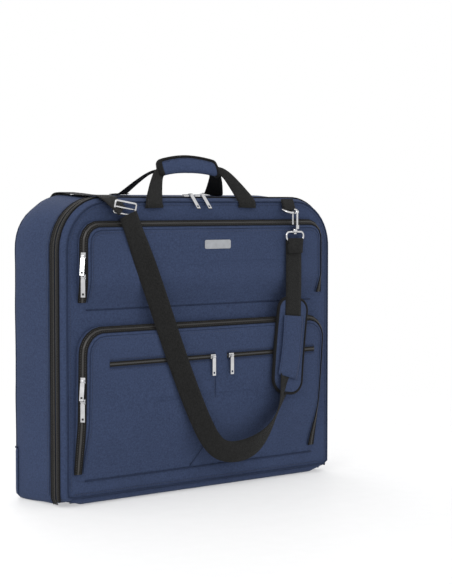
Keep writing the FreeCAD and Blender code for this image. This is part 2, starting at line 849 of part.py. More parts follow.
def hook_set(side, at, flip):
    """Tab, ring, snap hook, gate and swivel loop, built about the ring's own bar.

    A flip of 180 degrees puts the set on the rear face, with its loop upwards.
    """
    upright = Rotation(Vector(0, 0, 1), 90) * Rotation(Vector(1, 0, 0), 90)
    tip = "hook_y + hook_r"
    shank = "hook_y - hook_r"
    neck = "base_z + base_h"

    tab = without(f"{side}_ring_tab", block(
        f"{side}_tab_block", ("tab_w", "tab_front + tab_back", "tab_high + tab_low"),
        (minus_half("tab_w"), "- tab_front", "- tab_low")),
        [rod(f"{side}_tab_bore", "ring_wire + 0.06", "40", ("- 20", "0", "0"), "x")])
    ring = joined(f"{side}_ring", [
        rod(f"{side}_ring_bar", "ring_wire", "ring_r + ring_r", ("- ring_r", "0", "0"), "x"),
        half_ring(f"{side}_ring_bow", "ring_r", "ring_wire", ("0", "0", "0"),
                  Rotation(Vector(1, 0, 0), 180 + RING_TILT)),
    ])
    hook = joined(f"{side}_hook", [
        half_ring(f"{side}_hook_bow", "hook_r", "hook_wire", ("0", "hook_y", "hook_z"), upright),
        rod(f"{side}_hook_shank", "hook_wire", "hook_z - base_z - 1", ("0", shank, "base_z + 1")),
        rod(f"{side}_hook_tip", "hook_wire", "tip_len", ("0", tip, "hook_z - tip_len")),
        block(f"{side}_hook_base", ("hook_base_w", "base_half + base_half", "base_h"),
              (minus_half("hook_base_w"), "hook_y - base_half", "base_z")),
        rod(f"{side}_hook_pin", "pin_r", "base_z - pin_low", ("0", "hook_y", "pin_low")),
        rod(f"{side}_hook_head", "head_r", "2", ("0", "hook_y", "pin_low - 1")),
    ])
    gate = rod(f"{side}_gate", "gate_r", "hook_z - tip_len - 0.3 - base_z - base_h - gate_gap",
               ("0", tip, f"{neck} + gate_gap"))
    gate_node = joined(f"{side}_hook_gate", [
        gate, rod(f"{side}_gate_lip", "gate_r", "2", ("- 1", tip, f"{neck} + gate_gap + gate_r"), "x")])
    frame = block(f"{side}_loop_frame", ("loop_half_w + loop_half_w", "4", "loop_high - loop_low"),
                  ("- loop_half_w", "hook_y - 2", "loop_low"))
    boss = rod(f"{side}_loop_boss", "boss_r", "5", ("0", "hook_y", "loop_high - 4"))
    loop = without(f"{side}_swivel_loop", joined(f"{side}_loop_blank", [frame, boss]), [
        block(f"{side}_loop_window",
              ("loop_half_w + loop_half_w - loop_rim - loop_rim", "12", "loop_high - loop_low - 8"),
              ("- loop_half_w + loop_rim", "hook_y - 6", "loop_low + loop_rim")),
        rod(f"{side}_loop_bore", "pin_hole", "12", ("0", "hook_y", "loop_high - 6")),
    ])
    for item in (tab, ring, hook, gate_node, loop):
        turn(item, (1, 0, 0), flip)
        put(item, at)
        keep(item)


# ---------------------------------------------------------------- hanging hook


def hanging_hook():
    """The hanging hook, stowed head down inside the front half, on a short chain and strap."""
    bow = Rotation(Vector(1, 0, 0), 90)
    head = half_ring("hang_bow", "hang_r", "hang_wire", ("0", "0", "- hang_drop"),
                     Rotation(Vector(0, 1, 0), 90) * bow * Rotation(Vector(0, 0, 1), 180), 200)
    turn(head, (1, 0, 0), -90)
    stem = rod("hang_stem", "hang_wire", "hang_shank", ("hang_r", "0", "- hang_drop"))
    keep_hook = keep(joined("hanging_hook", [head, stem]))
    put(keep_hook, ("hang_x - hang_r", "hang_y", "hang_z"))
    chain = [
        half_ring(f"chain_link{index}", "link_r", "link_wire", ("0", "0", str(LINK_TOP - LINK_STEP * index)),
                  Rotation(Vector(1, 0, 0), 90) if index % 2 else
                  Rotation(Vector(0, 1, 0), 90), 360)
        for index in range(3)
    ]
    chain_node = keep(joined("hook_chain", chain))
    put(chain_node, ("hang_x", "hang_y", "hang_z"))
    keep(block("hook_strap", ("hang_tag", "web_thick", "hang_tag"),
               (f"hang_x {minus_half('hang_tag')}", "hang_y - 1", "hang_z - hang_tag")))


def check_and_write():
    """Every object must be sound, and every sub-part closed, before anything is written."""
    doc.recompute()
    for item in doc.Objects:
        if "Invalid" in item.State or "Error" in item.State:
            raise RuntimeError(f"{item.Label}: {item.State}")
    os.makedirs("parts", exist_ok=True)
    for item in nodes:
        if item.Shape.isNull() or not item.Shape.isValid():
            raise RuntimeError(item.Label + ": bad shape")
        if len(item.Shape.Solids) != 1:
            raise RuntimeError(f"{item.Label}: {len(item.Shape.Solids)} solids")
    for item in nodes:
        item.Shape.exportStep(f"parts/{item.Label}.step")
    print(len(nodes), "sub-parts written")


fill_sheet()
rear_tray()
rear_fittings()
fold_spine()
front_tray()
front_fittings()
pockets()
zipper_sliders()
carry_handles()
strap_over_top()
adjuster()
hanging_strap()
shoulder_pad()
hook_set("front", ("front_ring_x", "front_ring_y", "front_ring_z"), 0)
hook_set("rear", ("rear_ring_x", "rear_ring_y", "rear_ring_z"), 180)
hanging_hook()
check_and_write()
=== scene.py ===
"""Looks of a folding garment bag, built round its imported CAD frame.

Metres, +Z up, front face towards -Y. Sewn edges are swept along the same rounded outline as
the cloth that they edge, with "out" pointing away from the outline and "forward" towards -Y.
"""

import math

import bpy
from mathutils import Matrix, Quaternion, Vector, noise


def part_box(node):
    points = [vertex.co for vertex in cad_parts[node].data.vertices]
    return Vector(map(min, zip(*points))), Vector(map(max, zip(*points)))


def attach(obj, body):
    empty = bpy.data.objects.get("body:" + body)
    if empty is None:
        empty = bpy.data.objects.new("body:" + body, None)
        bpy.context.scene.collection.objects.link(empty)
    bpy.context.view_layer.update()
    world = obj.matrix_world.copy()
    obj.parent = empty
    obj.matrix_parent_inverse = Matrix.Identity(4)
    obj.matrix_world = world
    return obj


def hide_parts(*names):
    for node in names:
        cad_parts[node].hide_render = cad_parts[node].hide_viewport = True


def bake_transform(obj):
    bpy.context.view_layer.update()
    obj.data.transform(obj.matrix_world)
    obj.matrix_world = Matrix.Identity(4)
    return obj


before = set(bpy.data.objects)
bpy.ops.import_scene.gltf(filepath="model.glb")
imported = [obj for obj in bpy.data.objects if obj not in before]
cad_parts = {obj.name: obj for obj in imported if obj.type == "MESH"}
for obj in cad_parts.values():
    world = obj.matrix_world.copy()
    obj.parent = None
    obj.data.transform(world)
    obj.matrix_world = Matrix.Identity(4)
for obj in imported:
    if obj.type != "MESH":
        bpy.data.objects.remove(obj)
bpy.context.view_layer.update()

MM = 0.001
UP = Vector((0, 0, 1))
FORWARD = Vector((0, -1, 0))
WEB_W = 38 * MM
WEB_THICK = 1.6 * MM
TAPE_STEP = 12 * MM  # spacing of the points along a sewn outline
STITCH_PITCH = 4.2 * MM
COIL_PITCH = 2.2 * MM

# ------------------------------------------------------------------------ small helpers


def node_box(name):
    low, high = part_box(name)
    return low.copy(), high.copy()


def mesh_piece(name, verts, faces, material, body, smooth=True, uvs=None, marks=None):
    """A new mesh object that rides on a body. uvs has one pair per vertex."""
    mesh = bpy.data.meshes.new(name)
    mesh.from_pydata([tuple(v) for v in verts], [], faces)
    materials = material if isinstance(material, (list, tuple)) else [material]
    for item in materials:
        mesh.materials.append(item)
    if marks:
        mesh.polygons.foreach_set("material_index", marks)
    if uvs:
        layer = mesh.uv_layers.new(name="UVMap")
        for loop in mesh.loops:
            layer.data[loop.index].uv = uvs[loop.vertex_index]
    mesh.polygons.foreach_set("use_smooth", [smooth] * len(mesh.polygons))
    mesh.update()
    item = bpy.data.objects.new(name, mesh)
    bpy.context.scene.collection.objects.link(item)
    recalc(item)
    if body:
        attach(item, body)
    return item


def recalc(item):
    """Turn every face outwards."""
    import bmesh
    work = bmesh.new()
    work.from_mesh(item.data)
    bmesh.ops.recalc_face_normals(work, faces=work.faces)
    work.to_mesh(item.data)
    work.free()


def modifier(item, kind, **settings):
    made = item.modifiers.new(kind.title(), kind)
    for key, setting in settings.items():
        setattr(made, key, setting)
    return made


def ease(value, low, high):
    share = min(1.0, max(0.0, (value - low) / (high - low)))
    return share * share * (3 - 2 * share)


def wobble(x, z, scale, seed=0.0):
    return noise.noise(Vector((x * scale, z * scale, seed)))


# ------------------------------------------------------------------------ outlines


class Outline:
    """A rectangle with round corners in XZ, sampled anticlockwise from the bottom left leg."""

    def __init__(self, left, right, low, high, r_low, r_high, warp=None):
        self.sides = (left, right, low, high)
        self.radii = (r_low, r_high)
        self.warp = warp

    def ring(self, inset=0.0, runs=(18, 22), arc=8):
        """Closed loop of (x, z, out_x, out_z); the count never changes with the inset."""
        left, right, low, high = self.sides
        left, right, low, high = left + inset, right - inset, low + inset, high - inset
        r_low = max(self.radii[0] - inset, 0.4 * MM)
        r_high = max(self.radii[1] - inset, 0.4 * MM)
        r_high = min(r_high, (high - low) / 2 - 0.1 * MM, (right - left) / 2 - 0.1 * MM)
        r_low = min(r_low, (high - low) / 2 - 0.1 * MM)
        corners = (
            (right - r_low, low + r_low, r_low, -90, runs[1]),
            (right - r_high, high - r_high, r_high, 0, runs[0]),
            (left + r_high, high - r_high, r_high, 90, runs[1]),
            (left + r_low, low + r_low, r_low, 180, runs[0]),
        )
        loop = []
        for index, (cx, cz, radius, start, count) in enumerate(corners):
            before = corners[index - 1]
            angle = math.radians(before[3] + 90)
            x0 = before[0] + before[2] * math.cos(angle)
            z0 = before[1] + before[2] * math.sin(angle)
            angle = math.radians(start)
            x1, z1 = cx + radius * math.cos(angle), cz + radius * math.sin(angle)
            for step in range(1, count):
                share = step / count
                loop.append((x0 + (x1 - x0) * share, z0 + (z1 - z0) * share,
                             math.cos(angle), math.sin(angle)))
            for step in range(arc + 1):
                angle = math.radians(start + 90 * step / arc)
                loop.append((cx + radius * math.cos(angle), cz + radius * math.sin(angle),
                             math.cos(angle), math.sin(angle)))
        if self.warp:
            loop = [(*self.warp(x, z), ox, oz) for x, z, ox, oz in loop]
        return loop

    def path(self, inset=0.0, step=TAPE_STEP, closed=False, low_end=None):
        """Evenly spaced (x, z, out) along the outline; open at the bottom unless closed."""
        dense = self.ring(inset, runs=(90, 110), arc=24)
        points = [(Vector((x, 0, z)), Vector((ox, 0, oz))) for x, z, ox, oz in dense]
        if not closed:
            cut = self.sides[2] + inset if low_end is None else low_end
            middle = (self.sides[0] + self.sides[1]) / 2
            kept = [p for p in points if p[0].z >= cut - 0.01 * MM or p[0].z > self.sides[3] - 0.12]
            legs_right = [p for p in kept if p[1].x > 0.02 or p[1].z > 0.02]
            points = [p for p in kept if p in legs_right or p[1].x < -0.02]
            start = min(range(len(points)),
                        key=lambda i: (points[i][0].x < middle, points[i][0].z))
            points = points[start:] + points[:start]
        return respace(points, step, closed)


def respace(points, step, closed=False):
    """The same line with points evenly spaced at about the given step."""
    line = points + [points[0]] if closed else points
    lengths = [0.0]
    for before, after in zip(line, line[1:]):
        lengths.append(lengths[-1] + (after[0] - before[0]).length)
    count = max(2, round(lengths[-1] / step))
    made, at = [], 0
    for index in range(count if closed else count + 1):
        want = lengths[-1] * index / count
        while at < len(lengths) - 2 and lengths[at + 1] < want:
            at += 1
        span = max(lengths[at + 1] - lengths[at], 1e-9)
        share = (want - lengths[at]) / span
        made.append(tuple(a.lerp(b, share) for a, b in zip(line[at], line[at + 1])))
    return made


# ------------------------------------------------------------------------ swept pieces


def sweep(name, stations, section, material, body, closed=False, smooth=True, caps=True):
    """Carry a closed section along stations of (point, side, lift).

    section is a list of (side, lift) pairs, or a function of the station's index giving one.
    """
    verts, faces, uvs, travelled = [], [], [], 0.0
    shape = section if callable(section) else lambda index: section
    size = len(shape(0))
    for index, (point, side, lift) in enumerate(stations):
        if index:
            travelled += (point - stations[index - 1][0]).length
        for a, b in shape(index):
            verts.append(point + side * a + lift * b)
            uvs.append((a, travelled))
    count = len(stations)
    for index in range(count if closed else count - 1):
        here, following = index * size, ((index + 1) % count) * size
        for corner in range(size):
            right = (corner + 1) % size
            faces.append((here + corner, here + right, following + right, following + corner))
    if not closed and caps:
        faces.append(tuple(range(size)))
        faces.append(tuple((count - 1) * size + corner for corner in reversed(range(size))))
    return mesh_piece(name, verts, faces, material, body, smooth, uvs)


def circle(radius, count=8, squash=1.0):
    return [(radius * math.cos(math.tau * i / count), radius * squash * math.sin(math.tau * i / count))
            for i in range(count)]


def band(width, thick, crown=0.0, across=6):
    """Section of webbing: rounded edges, and a face that may be crowned."""
    half, edge = width / 2, thick / 2
    top = []
    for step in range(across + 1):
        x = -half + width * step / across
        top.append((x, edge * (0.35 if step in (0, across) else 1.0)
                    + crown * (1 - (x / half) ** 2)))
    return top + [(x, lift - thick * (0.35 if i in (0, across) else 1.0))
                  for i, (x, lift) in reversed(list(enumerate(top)))]


def frames_along(points, face=None):
    """Stations for a free line in space: side across the line, lift towards face."""
    stations, lift = [], (face or UP).normalized()
    for index, point in enumerate(points):
        ahead = points[min(index + 1, len(points) - 1)] - points[max(index - 1, 0)]
        ahead.normalize()
        lift = (lift - ahead * lift.dot(ahead)).normalized()
        stations.append((point, ahead.cross(lift).normalized(), lift))
    return stations


def smooth_line(points, count):
    """A Catmull-Rom line through given points."""
    ends = [points[0] * 2 - points[1]] + list(points) + [points[-1] * 2 - points[-2]]
    made = []
    spans = len(points) - 1
    for index in range(count + 1):
        at = min(index / count * spans, spans - 1e-9)
        base, t = int(at), at - int(at)
        a, b, c, d = ends[base:base + 4]
        made.append(0.5 * ((2 * b) + (c - a) * t + (2 * a - 5 * b + 4 * c - d) * t * t
                           + (3 * b - a - 3 * c + d) * t ** 3))
    return made


def tube(name, points, radius, material, body, closed=False, sides=8):
    if closed:
        stations, lift = [], None
        for index, point in enumerate(points):
            ahead = (points[(index + 1) % len(points)] - points[index - 1]).normalized()
            lift = lift or ahead.orthogonal()
            lift = (lift - ahead * lift.dot(ahead)).normalized()
            stations.append((point, ahead.cross(lift), lift))
    else:
        first = (points[1] - points[0]).normalized().orthogonal()
        stations = frames_along(points, first)
    return sweep(name, stations, circle(radius, sides), material, body, closed)


def seam_stations(path, y, out_share, shift=0.0):
    """Stations on a sewn outline at depth y. lift leans from forward to out by out_share."""
    stations = []
    for point, out in path:
        lift = (out.normalized() * out_share + FORWARD * (1 - out_share)).normalized()
        along_face = (out.normalized() * (1 - out_share) - FORWARD * out_share).normalized()
        at = Vector((point.x, y, point.z)) + along_face * shift
        stations.append((at, along_face, lift))
    return stations


def stitches(name, stations, material, body, shift=0.0, rise=0.3 * MM, pitch=STITCH_PITCH):
    """A row of separate thread stitches lying on the cloth along the stations."""
    line = respace([(p + side * shift + lift * rise, side, lift) for p, side, lift in stations], pitch)
    verts, faces = [], []
    for index in range(0, len(line) - 1):
        start, side, lift = line[index]
        end = line[index + 1][0]
        run = end - start
        if run.length > 2 * pitch:
            continue
        for share, radius, height in ((0.12, 0.18, -0.25), (0.32, 0.42, 0.1),
                                      (0.58, 0.42, 0.1), (0.78, 0.18, -0.25)):
            centre = start + run * share + lift * (height * MM)
            for a, b in ((1, 0), (0, 1), (-1, 0), (0, -1)):
                verts.append(centre + side * (a * radius * MM) + lift * (b * radius * MM))
        base = len(verts) - 16
        for ring in range(3):
            for corner in range(4):
                right = (corner + 1) % 4
                faces.append((base + ring * 4 + corner, base + ring * 4 + right,
                              base + ring * 4 + 4 + right, base + ring * 4 + 4 + corner))
        faces.append((base, base + 1, base + 2, base + 3))
        faces.append((base + 15, base + 14, base + 13, base + 12))
    return mesh_piece(name, verts, faces, material, body)


def zipper_coil(name, stations, material, body, shift=0.0, width=3.4 * MM, height=1.3 * MM):
    """The two interlocked rows of a coil zipper: a low ridge with one rib per turn."""
    line = respace([(p + side * shift, side, lift) for p, side, lift in stations], COIL_PITCH / 2)

    def ribbed(index):
        tall = height * (1.0 if index % 2 else 0.55)
        half = width / 2 * (1.0 if index % 2 else 0.86)
        return [(-half, -0.2 * MM), (-half * 0.9, tall * 0.7), (-half * 0.35, tall),
                (0, tall * 0.55), (half * 0.35, tall), (half * 0.9, tall * 0.7), (half, -0.2 * MM)]

    return sweep(name, line, ribbed, material, body)


# ------------------------------------------------------------------------ materials


def material(name):
    made = bpy.data.materials.new(name)
    made.use_nodes = True
    tree = made.node_tree
    return made, tree, tree.nodes["Principled BSDF"]


def add(tree, kind, inputs=None, **settings):
    node = tree.nodes.new(kind)
    for key, setting in settings.items():
        setattr(node, key, setting)
    for key, given in (inputs or {}).items():
        if isinstance(given, bpy.types.NodeSocket):
            tree.links.new(given, node.inputs[key])
        else:
            node.inputs[key].default_value = given
    return node


def maths(tree, operation, *given):
    return add(tree, "ShaderNodeMath", dict(enumerate(given)), operation=operation).outputs[0]


def noise_at(tree, vector, scale, detail=3.0, rough=0.5):
    return add(tree, "ShaderNodeTexNoise", {
        "Vector": vector, "Scale": scale, "Detail": detail, "Roughness": rough}).outputs["Fac"]


def mix_colours(tree, share, first, second):
    node = add(tree, "ShaderNodeMix", data_type="RGBA")
    for socket, given in ((0, share), (6, first), (7, second)):
        if isinstance(given, bpy.types.NodeSocket):
            tree.links.new(given, node.inputs[socket])
        else:
            node.inputs[socket].default_value = given
    return node.outputs[2]


def bump(tree, shader, height, strength, distance):
    node = add(tree, "ShaderNodeBump", {"Height": height, "Strength": strength, "Distance": distance})
    tree.links.new(node.outputs[0], shader.inputs["Normal"])


def rgba(red, green, blue):
    return (red, green, blue, 1.0)


def weave_height(tree, pitch):
    """Over-and-under threads on whichever plane the cloth faces, from object coordinates."""
    coords = add(tree, "ShaderNodeTexCoord")
    place = add(tree, "ShaderNodeSeparateXYZ", {"Vector": coords.outputs["Object"]})
    facing = add(tree, "ShaderNodeSeparateXYZ", {"Vector": coords.outputs["Normal"]})
    wave = [maths(tree, "SINE", maths(tree, "MULTIPLY", place.outputs[axis], math.pi / pitch))
            for axis in range(3)]
    planes = []
    for axis, (a, b) in enumerate(((1, 2), (0, 2), (0, 1))):
        share = maths(tree, "POWER", maths(tree, "ABSOLUTE", facing.outputs[axis]), 4.0)
        planes.append(maths(tree, "MULTIPLY", maths(tree, "MULTIPLY", wave[a], wave[b]), share))
    total = maths(tree, "ADD", maths(tree, "ADD", planes[0], planes[1]), planes[2])
    return coords.outputs["Object"], total


def cloth(name, colour, pitch, rough=0.78, sheen=0.25, relief=0.35, spread=0.16):
    """Woven cloth: threads, slubs, soft colour changes and a dusty sheen."""
    made, tree, shader = material(name)
    place, threads = weave_height(tree, pitch)
    broad = noise_at(tree, place, 9.0, 4.0)
    fine = noise_at(tree, place, 330.0, 3.0, 0.7)
    stretched = add(tree, "ShaderNodeMapping", {"Vector": place, "Scale": (60.0, 60.0, 900.0)})
    slub = noise_at(tree, stretched.outputs[0], 1.0, 2.0)
    dark = rgba(*(c * (1 - spread) for c in colour))
    light = rgba(*(c * (1 + spread) for c in colour))
    shade = maths(tree, "ADD", maths(tree, "MULTIPLY", broad, 0.3), maths(tree, "MULTIPLY", slub, 0.25))
    shade = maths(tree, "ADD", shade, maths(tree, "MULTIPLY", maths(tree, "SUBTRACT", fine, 0.359), 1.6))
    shade = maths(tree, "ADD", shade, maths(tree, "MULTIPLY", threads, 0.2))
    tree.links.new(mix_colours(tree, shade, dark, light), shader.inputs["Base Color"])
    shader.inputs["Roughness"].default_value = rough
    shader.inputs["Sheen Weight"].default_value = sheen
    shader.inputs["Sheen Roughness"].default_value = 0.45
    shader.inputs["Specular IOR Level"].default_value = 0.06
    height = maths(tree, "ADD", threads, maths(tree, "MULTIPLY", slub, 0.8))
    bump(tree, shader, height, relief, 0.0006)
    return made


def webbing(name, colour, ribs=3.0 * MM):
    """Heavy webbing: diagonal ribs from its own width and length."""
    made, tree, shader = material(name)
    coords = add(tree, "ShaderNodeTexCoord")
    place = add(tree, "ShaderNodeSeparateXYZ", {"Vector": coords.outputs["UV"]})
    slanted = maths(tree, "ADD", maths(tree, "MULTIPLY", place.outputs[0], 1.35), place.outputs[1])
    rib = maths(tree, "SINE", maths(tree, "MULTIPLY", slanted, math.tau / ribs))
    cross = maths(tree, "SINE", maths(tree, "MULTIPLY", place.outputs[0], math.tau / (1.1 * MM)))
    uneven = maths(tree, "SUBTRACT", noise_at(tree, coords.outputs["Object"], 330.0, 3.0, 0.7), 0.25)
    height = maths(tree, "ADD", rib, maths(tree, "MULTIPLY", cross, 0.35))
    shade = maths(tree, "ADD", maths(tree, "MULTIPLY", rib, 0.45), maths(tree, "MULTIPLY", uneven, 1.8))
    dark = rgba(*(c * 0.35 for c in colour))
    light = rgba(*(c * 1.9 for c in colour))
    tree.links.new(mix_colours(tree, shade, dark, light), shader.inputs["Base Color"])
    shader.inputs["Roughness"].default_value = 0.7
    shader.inputs["Specular IOR Level"].default_value = 0.1
    shader.inputs["Sheen Weight"].default_value = 0.03
    bump(tree, shader, height, 0.55, 0.0007)
    return made


def thread_plastic(name, colour, rough=0.42):
    """Thread, coil teeth and moulded trim: smooth, with small uneven wear."""
    made, tree, shader = material(name)
    coords = add(tree, "ShaderNodeTexCoord")
    uneven = noise_at(tree, coords.outputs["Object"], 150.0, 4.0)
    dark, light = rgba(*(c * 0.8 for c in colour)), rgba(*(c * 1.25 for c in colour))
    tree.links.new(mix_colours(tree, uneven, dark, light), shader.inputs["Base Color"])
    tree.links.new(maths(tree, "ADD", maths(tree, "MULTIPLY", uneven, 0.25), rough - 0.12),
                   shader.inputs["Roughness"])
    bump(tree, shader, uneven, 0.15, 0.0002)
    return made


def nickel(name):
    """Polished plating with fine scratches and slightly duller worn patches."""
    made, tree, shader = material(name)
    coords = add(tree, "ShaderNodeTexCoord")
    stretched = add(tree, "ShaderNodeMapping", {"Vector": coords.outputs["Object"],
                                                "Scale": (900.0, 900.0, 90.0)})
    scratches = noise_at(tree, stretched.outputs[0], 1.0, 3.0)
    worn = noise_at(tree, coords.outputs["Object"], 70.0, 3.0)
    tree.links.new(mix_colours(tree, worn, rgba(0.44, 0.44, 0.45), rgba(0.74, 0.74, 0.75)),
                   shader.inputs["Base Color"])
    shader.inputs["Metallic"].default_value = 1.0
    tree.links.new(maths(tree, "ADD", maths(tree, "MULTIPLY", worn, 0.16), 0.08),
                   shader.inputs["Roughness"])
    bump(tree, shader, scratches, 0.08, 0.0002)
    return made


NAVY = cloth("navy_oxford", (0.037, 0.053, 0.106), 0.75 * MM, sheen=0.03, spread=0.34)
# Painted shade: a darker copy of the navy cloth for the piping, welts, seam ridges, spine roll and the
# guard's top edge. These pieces are the same navy as the cloth, darkened here to paint the shade of the seam
# lines.
NAVY_SEAM_SHADE = cloth("navy_painted_seam_shade", (0.021, 0.031, 0.064), 0.75 * MM, sheen=0.03, spread=0.3)
LINING = cloth("black_lining", (0.012, 0.012, 0.013), 0.5 * MM, rough=0.5, sheen=0.04, relief=0.2)
TAPE = cloth("zipper_tape", (0.018, 0.017, 0.016), 0.9 * MM, rough=0.7, sheen=0.03, relief=0.5)
BINDING = cloth("black_binding", (0.012, 0.012, 0.0125), 0.8 * MM, rough=0.72, sheen=0.03, relief=0.5)
WEBBING = webbing("black_webbing", (0.0125, 0.0125, 0.0123))
COIL = thread_plastic("coil_nylon", (0.028, 0.027, 0.026))
THREAD = thread_plastic("navy_thread", (0.024, 0.033, 0.066), 0.6)
BLACK_THREAD = thread_plastic("black_thread", (0.03, 0.03, 0.03), 0.6)
BLACK_PLASTIC = thread_plastic("black_acetal", (0.02, 0.02, 0.021), 0.35)
NICKEL = nickel("polished_nickel")
SATIN = thread_plastic("satin_plate", (0.30, 0.31, 0.33), 0.5)


# ------------------------------------------------------------------------ camera, light, floor


def camera_and_light():
    scene = bpy.context.scene
    camera = bpy.data.objects.new("camera", bpy.data.cameras.new("camera"))
    scene.collection.objects.link(camera)
    camera.location = (-1.7946, -2.3107, 0.516)
    camera.rotation_euler = (math.radians(90 - 3.18), 0, math.radians(-39.5))
    camera.data.sensor_width = 36
    camera.data.lens = 98.3
    scene.camera = camera
    scene.view_settings.view_transform = "Standard"

    world = bpy.data.worlds.new("studio")
    world.use_nodes = True
    world.node_tree.nodes["Background"].inputs[0].default_value = (1, 1, 1, 1)
    world.node_tree.nodes["Background"].inputs[1].default_value = 1.0
    scene.world = world

    for name, place, size, power in (
        ("key", (-2.6, -1.6, 2.4), 1.6, 34.0),
        ("front", (0.9, -3.0, 1.3), 1.8, 4.0),
        ("back", (0.8, 2.6, 2.0), 2.0, 22.0),
    ):
        light = bpy.data.objects.new(name, bpy.data.lights.new(name, "AREA"))
        scene.collection.objects.link(light)
        light.location = place
        light.rotation_euler = (Vector((0, 0, 0.3)) - light.location).to_track_quat("-Z", "Y").to_euler()
        light.data.shape = "DISK"
        light.data.size = size
        light.data.energy = power


def floor():
    """A pale, slightly see-through floor, so that the half folded below it still shows."""
    made, tree, shader = material("pale_floor")
    place = add(tree, "ShaderNodeTexCoord").outputs["Object"]
    speckle = noise_at(tree, place, 30.0, 3.0)
    tree.links.new(mix_colours(tree, speckle, rgba(0.90, 0.90, 0.91), rgba(0.96, 0.96, 0.97)),
                   shader.inputs["Base Color"])
    shader.inputs["Roughness"].default_value = 0.55
    clear = add(tree, "ShaderNodeBsdfTransparent")
    far = add(tree, "ShaderNodeVectorMath", {0: place}, operation="LENGTH").outputs["Value"]
    fade = add(tree, "ShaderNodeMapRange", {"Value": far, "From Min": 0.35, "From Max": 1.5,
                                            "To Min": 0.45, "To Max": 1.0})
    both = add(tree, "ShaderNodeMixShader", {0: fade.outputs[0], 1: shader.outputs[0],
                                             2: clear.outputs[0]})
    tree.links.new(both.outputs[0], tree.nodes["Material Output"].inputs["Surface"])
    reach = 6.0
    verts = [(reach * math.cos(math.tau * i / 64), reach * math.sin(math.tau * i / 64), -0.5 * MM)
             for i in range(64)]
    mesh_piece("floor", verts, [tuple(range(64))], made, None)


# ------------------------------------------------------------------------ trays


BACK_LOW, BACK_HIGH = node_box("back_shell")
FRONT_LOW, FRONT_HIGH = node_box("front_shell")
CORNER_HIGH = 90 * MM
CORNER_LOW = 14 * MM
BEVEL_IN = 8 * MM
TRAY = Outline(BACK_LOW.x, BACK_HIGH.x, BACK_LOW.z, BACK_HIGH.z, CORNER_LOW, CORNER_HIGH)
FRONT = Outline(FRONT_LOW.x, FRONT_HIGH.x, FRONT_LOW.z, FRONT_HIGH.z, CORNER_LOW, CORNER_HIGH)


def shell(name, outline, rows, body, nodes):
    """A loft over rows of (y, inset, material mark, shaping); first and last rows are closed."""
    verts, faces, marks = [], [], []
    size = None
    for y, inset, _, shaping in rows:
        loop = outline.ring(inset)
        size = len(loop)
        for x, z, out_x, out_z in loop:
            point = Vector((x, y, z))
            if shaping:
                point = shaping(point, Vector((out_x, 0, out_z)))
            verts.append(point)
    for row in range(len(rows) - 1):
        for index in range(size):
            right = (index + 1) % size
            faces.append((row * size + index, row * size + right,
                          (row + 1) * size + right, (row + 1) * size + index))
            marks.append(rows[row][2])
    last = (len(rows) - 1) * size
    faces.append(tuple(range(size)))
    marks.append(rows[0][2])
    faces.append(tuple(last + index for index in reversed(range(size))))
    marks.append(rows[-1][2])
    item = mesh_piece(name, verts, faces, [NAVY, LINING], body, marks=marks)
    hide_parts(*nodes)
    return item


def face_rows(y, first, deepest, count, mark, shaping):
    """Rows that carry a face from its edge to its middle."""
    rows = []
    for step in range(count + 1):
        share = step / count
        rows.append((y, first + (deepest - first) * share, mark, shaping))
    return rows


def dome(y):
    """How far the gusset swells outwards at a depth: most near the back."""
    return 9.0 * MM * ease(y, -0.045, 0.050)


def rear_shape(point, out):
    """Soft gusset and back: a little fuller in the middle, lifted at the front of the base."""
    height = (point.z - BACK_LOW.z) / (BACK_HIGH.z - BACK_LOW.z)
    side = max(ease(abs(out.x), 0.3, 1.0), ease(out.z, 0.3, 1.0) * 0.6)
    ripple = wobble(point.y, point.z, 14, 3.1) * 0.9 * MM + wobble(point.y, point.z, 45, 7.7) * 0.25 * MM
    point = point + out * (side * (dome(point.y) + ripple))
    lift = ease(-point.y, 0.022, 0.050) * 8 * MM * ease(height, 0.06, 0.0)
    return point + UP * lift


def back_face(point, out):
    """The rear panel, gently crowned, with soft ripples."""
    x, z = point.x / BACK_HIGH.x, (point.z - 0.263) / 0.263
    crown = max(0.0, 1 - x ** 4) * max(0.0, 1 - z ** 4)
    ripple = wobble(point.x, point.z, 8, 1.3) * 1.2 * MM + wobble(point.x, point.z, 26, 2.9) * 0.35 * MM
    return point + Vector((0, crown * (4.0 * MM + ripple), 0))


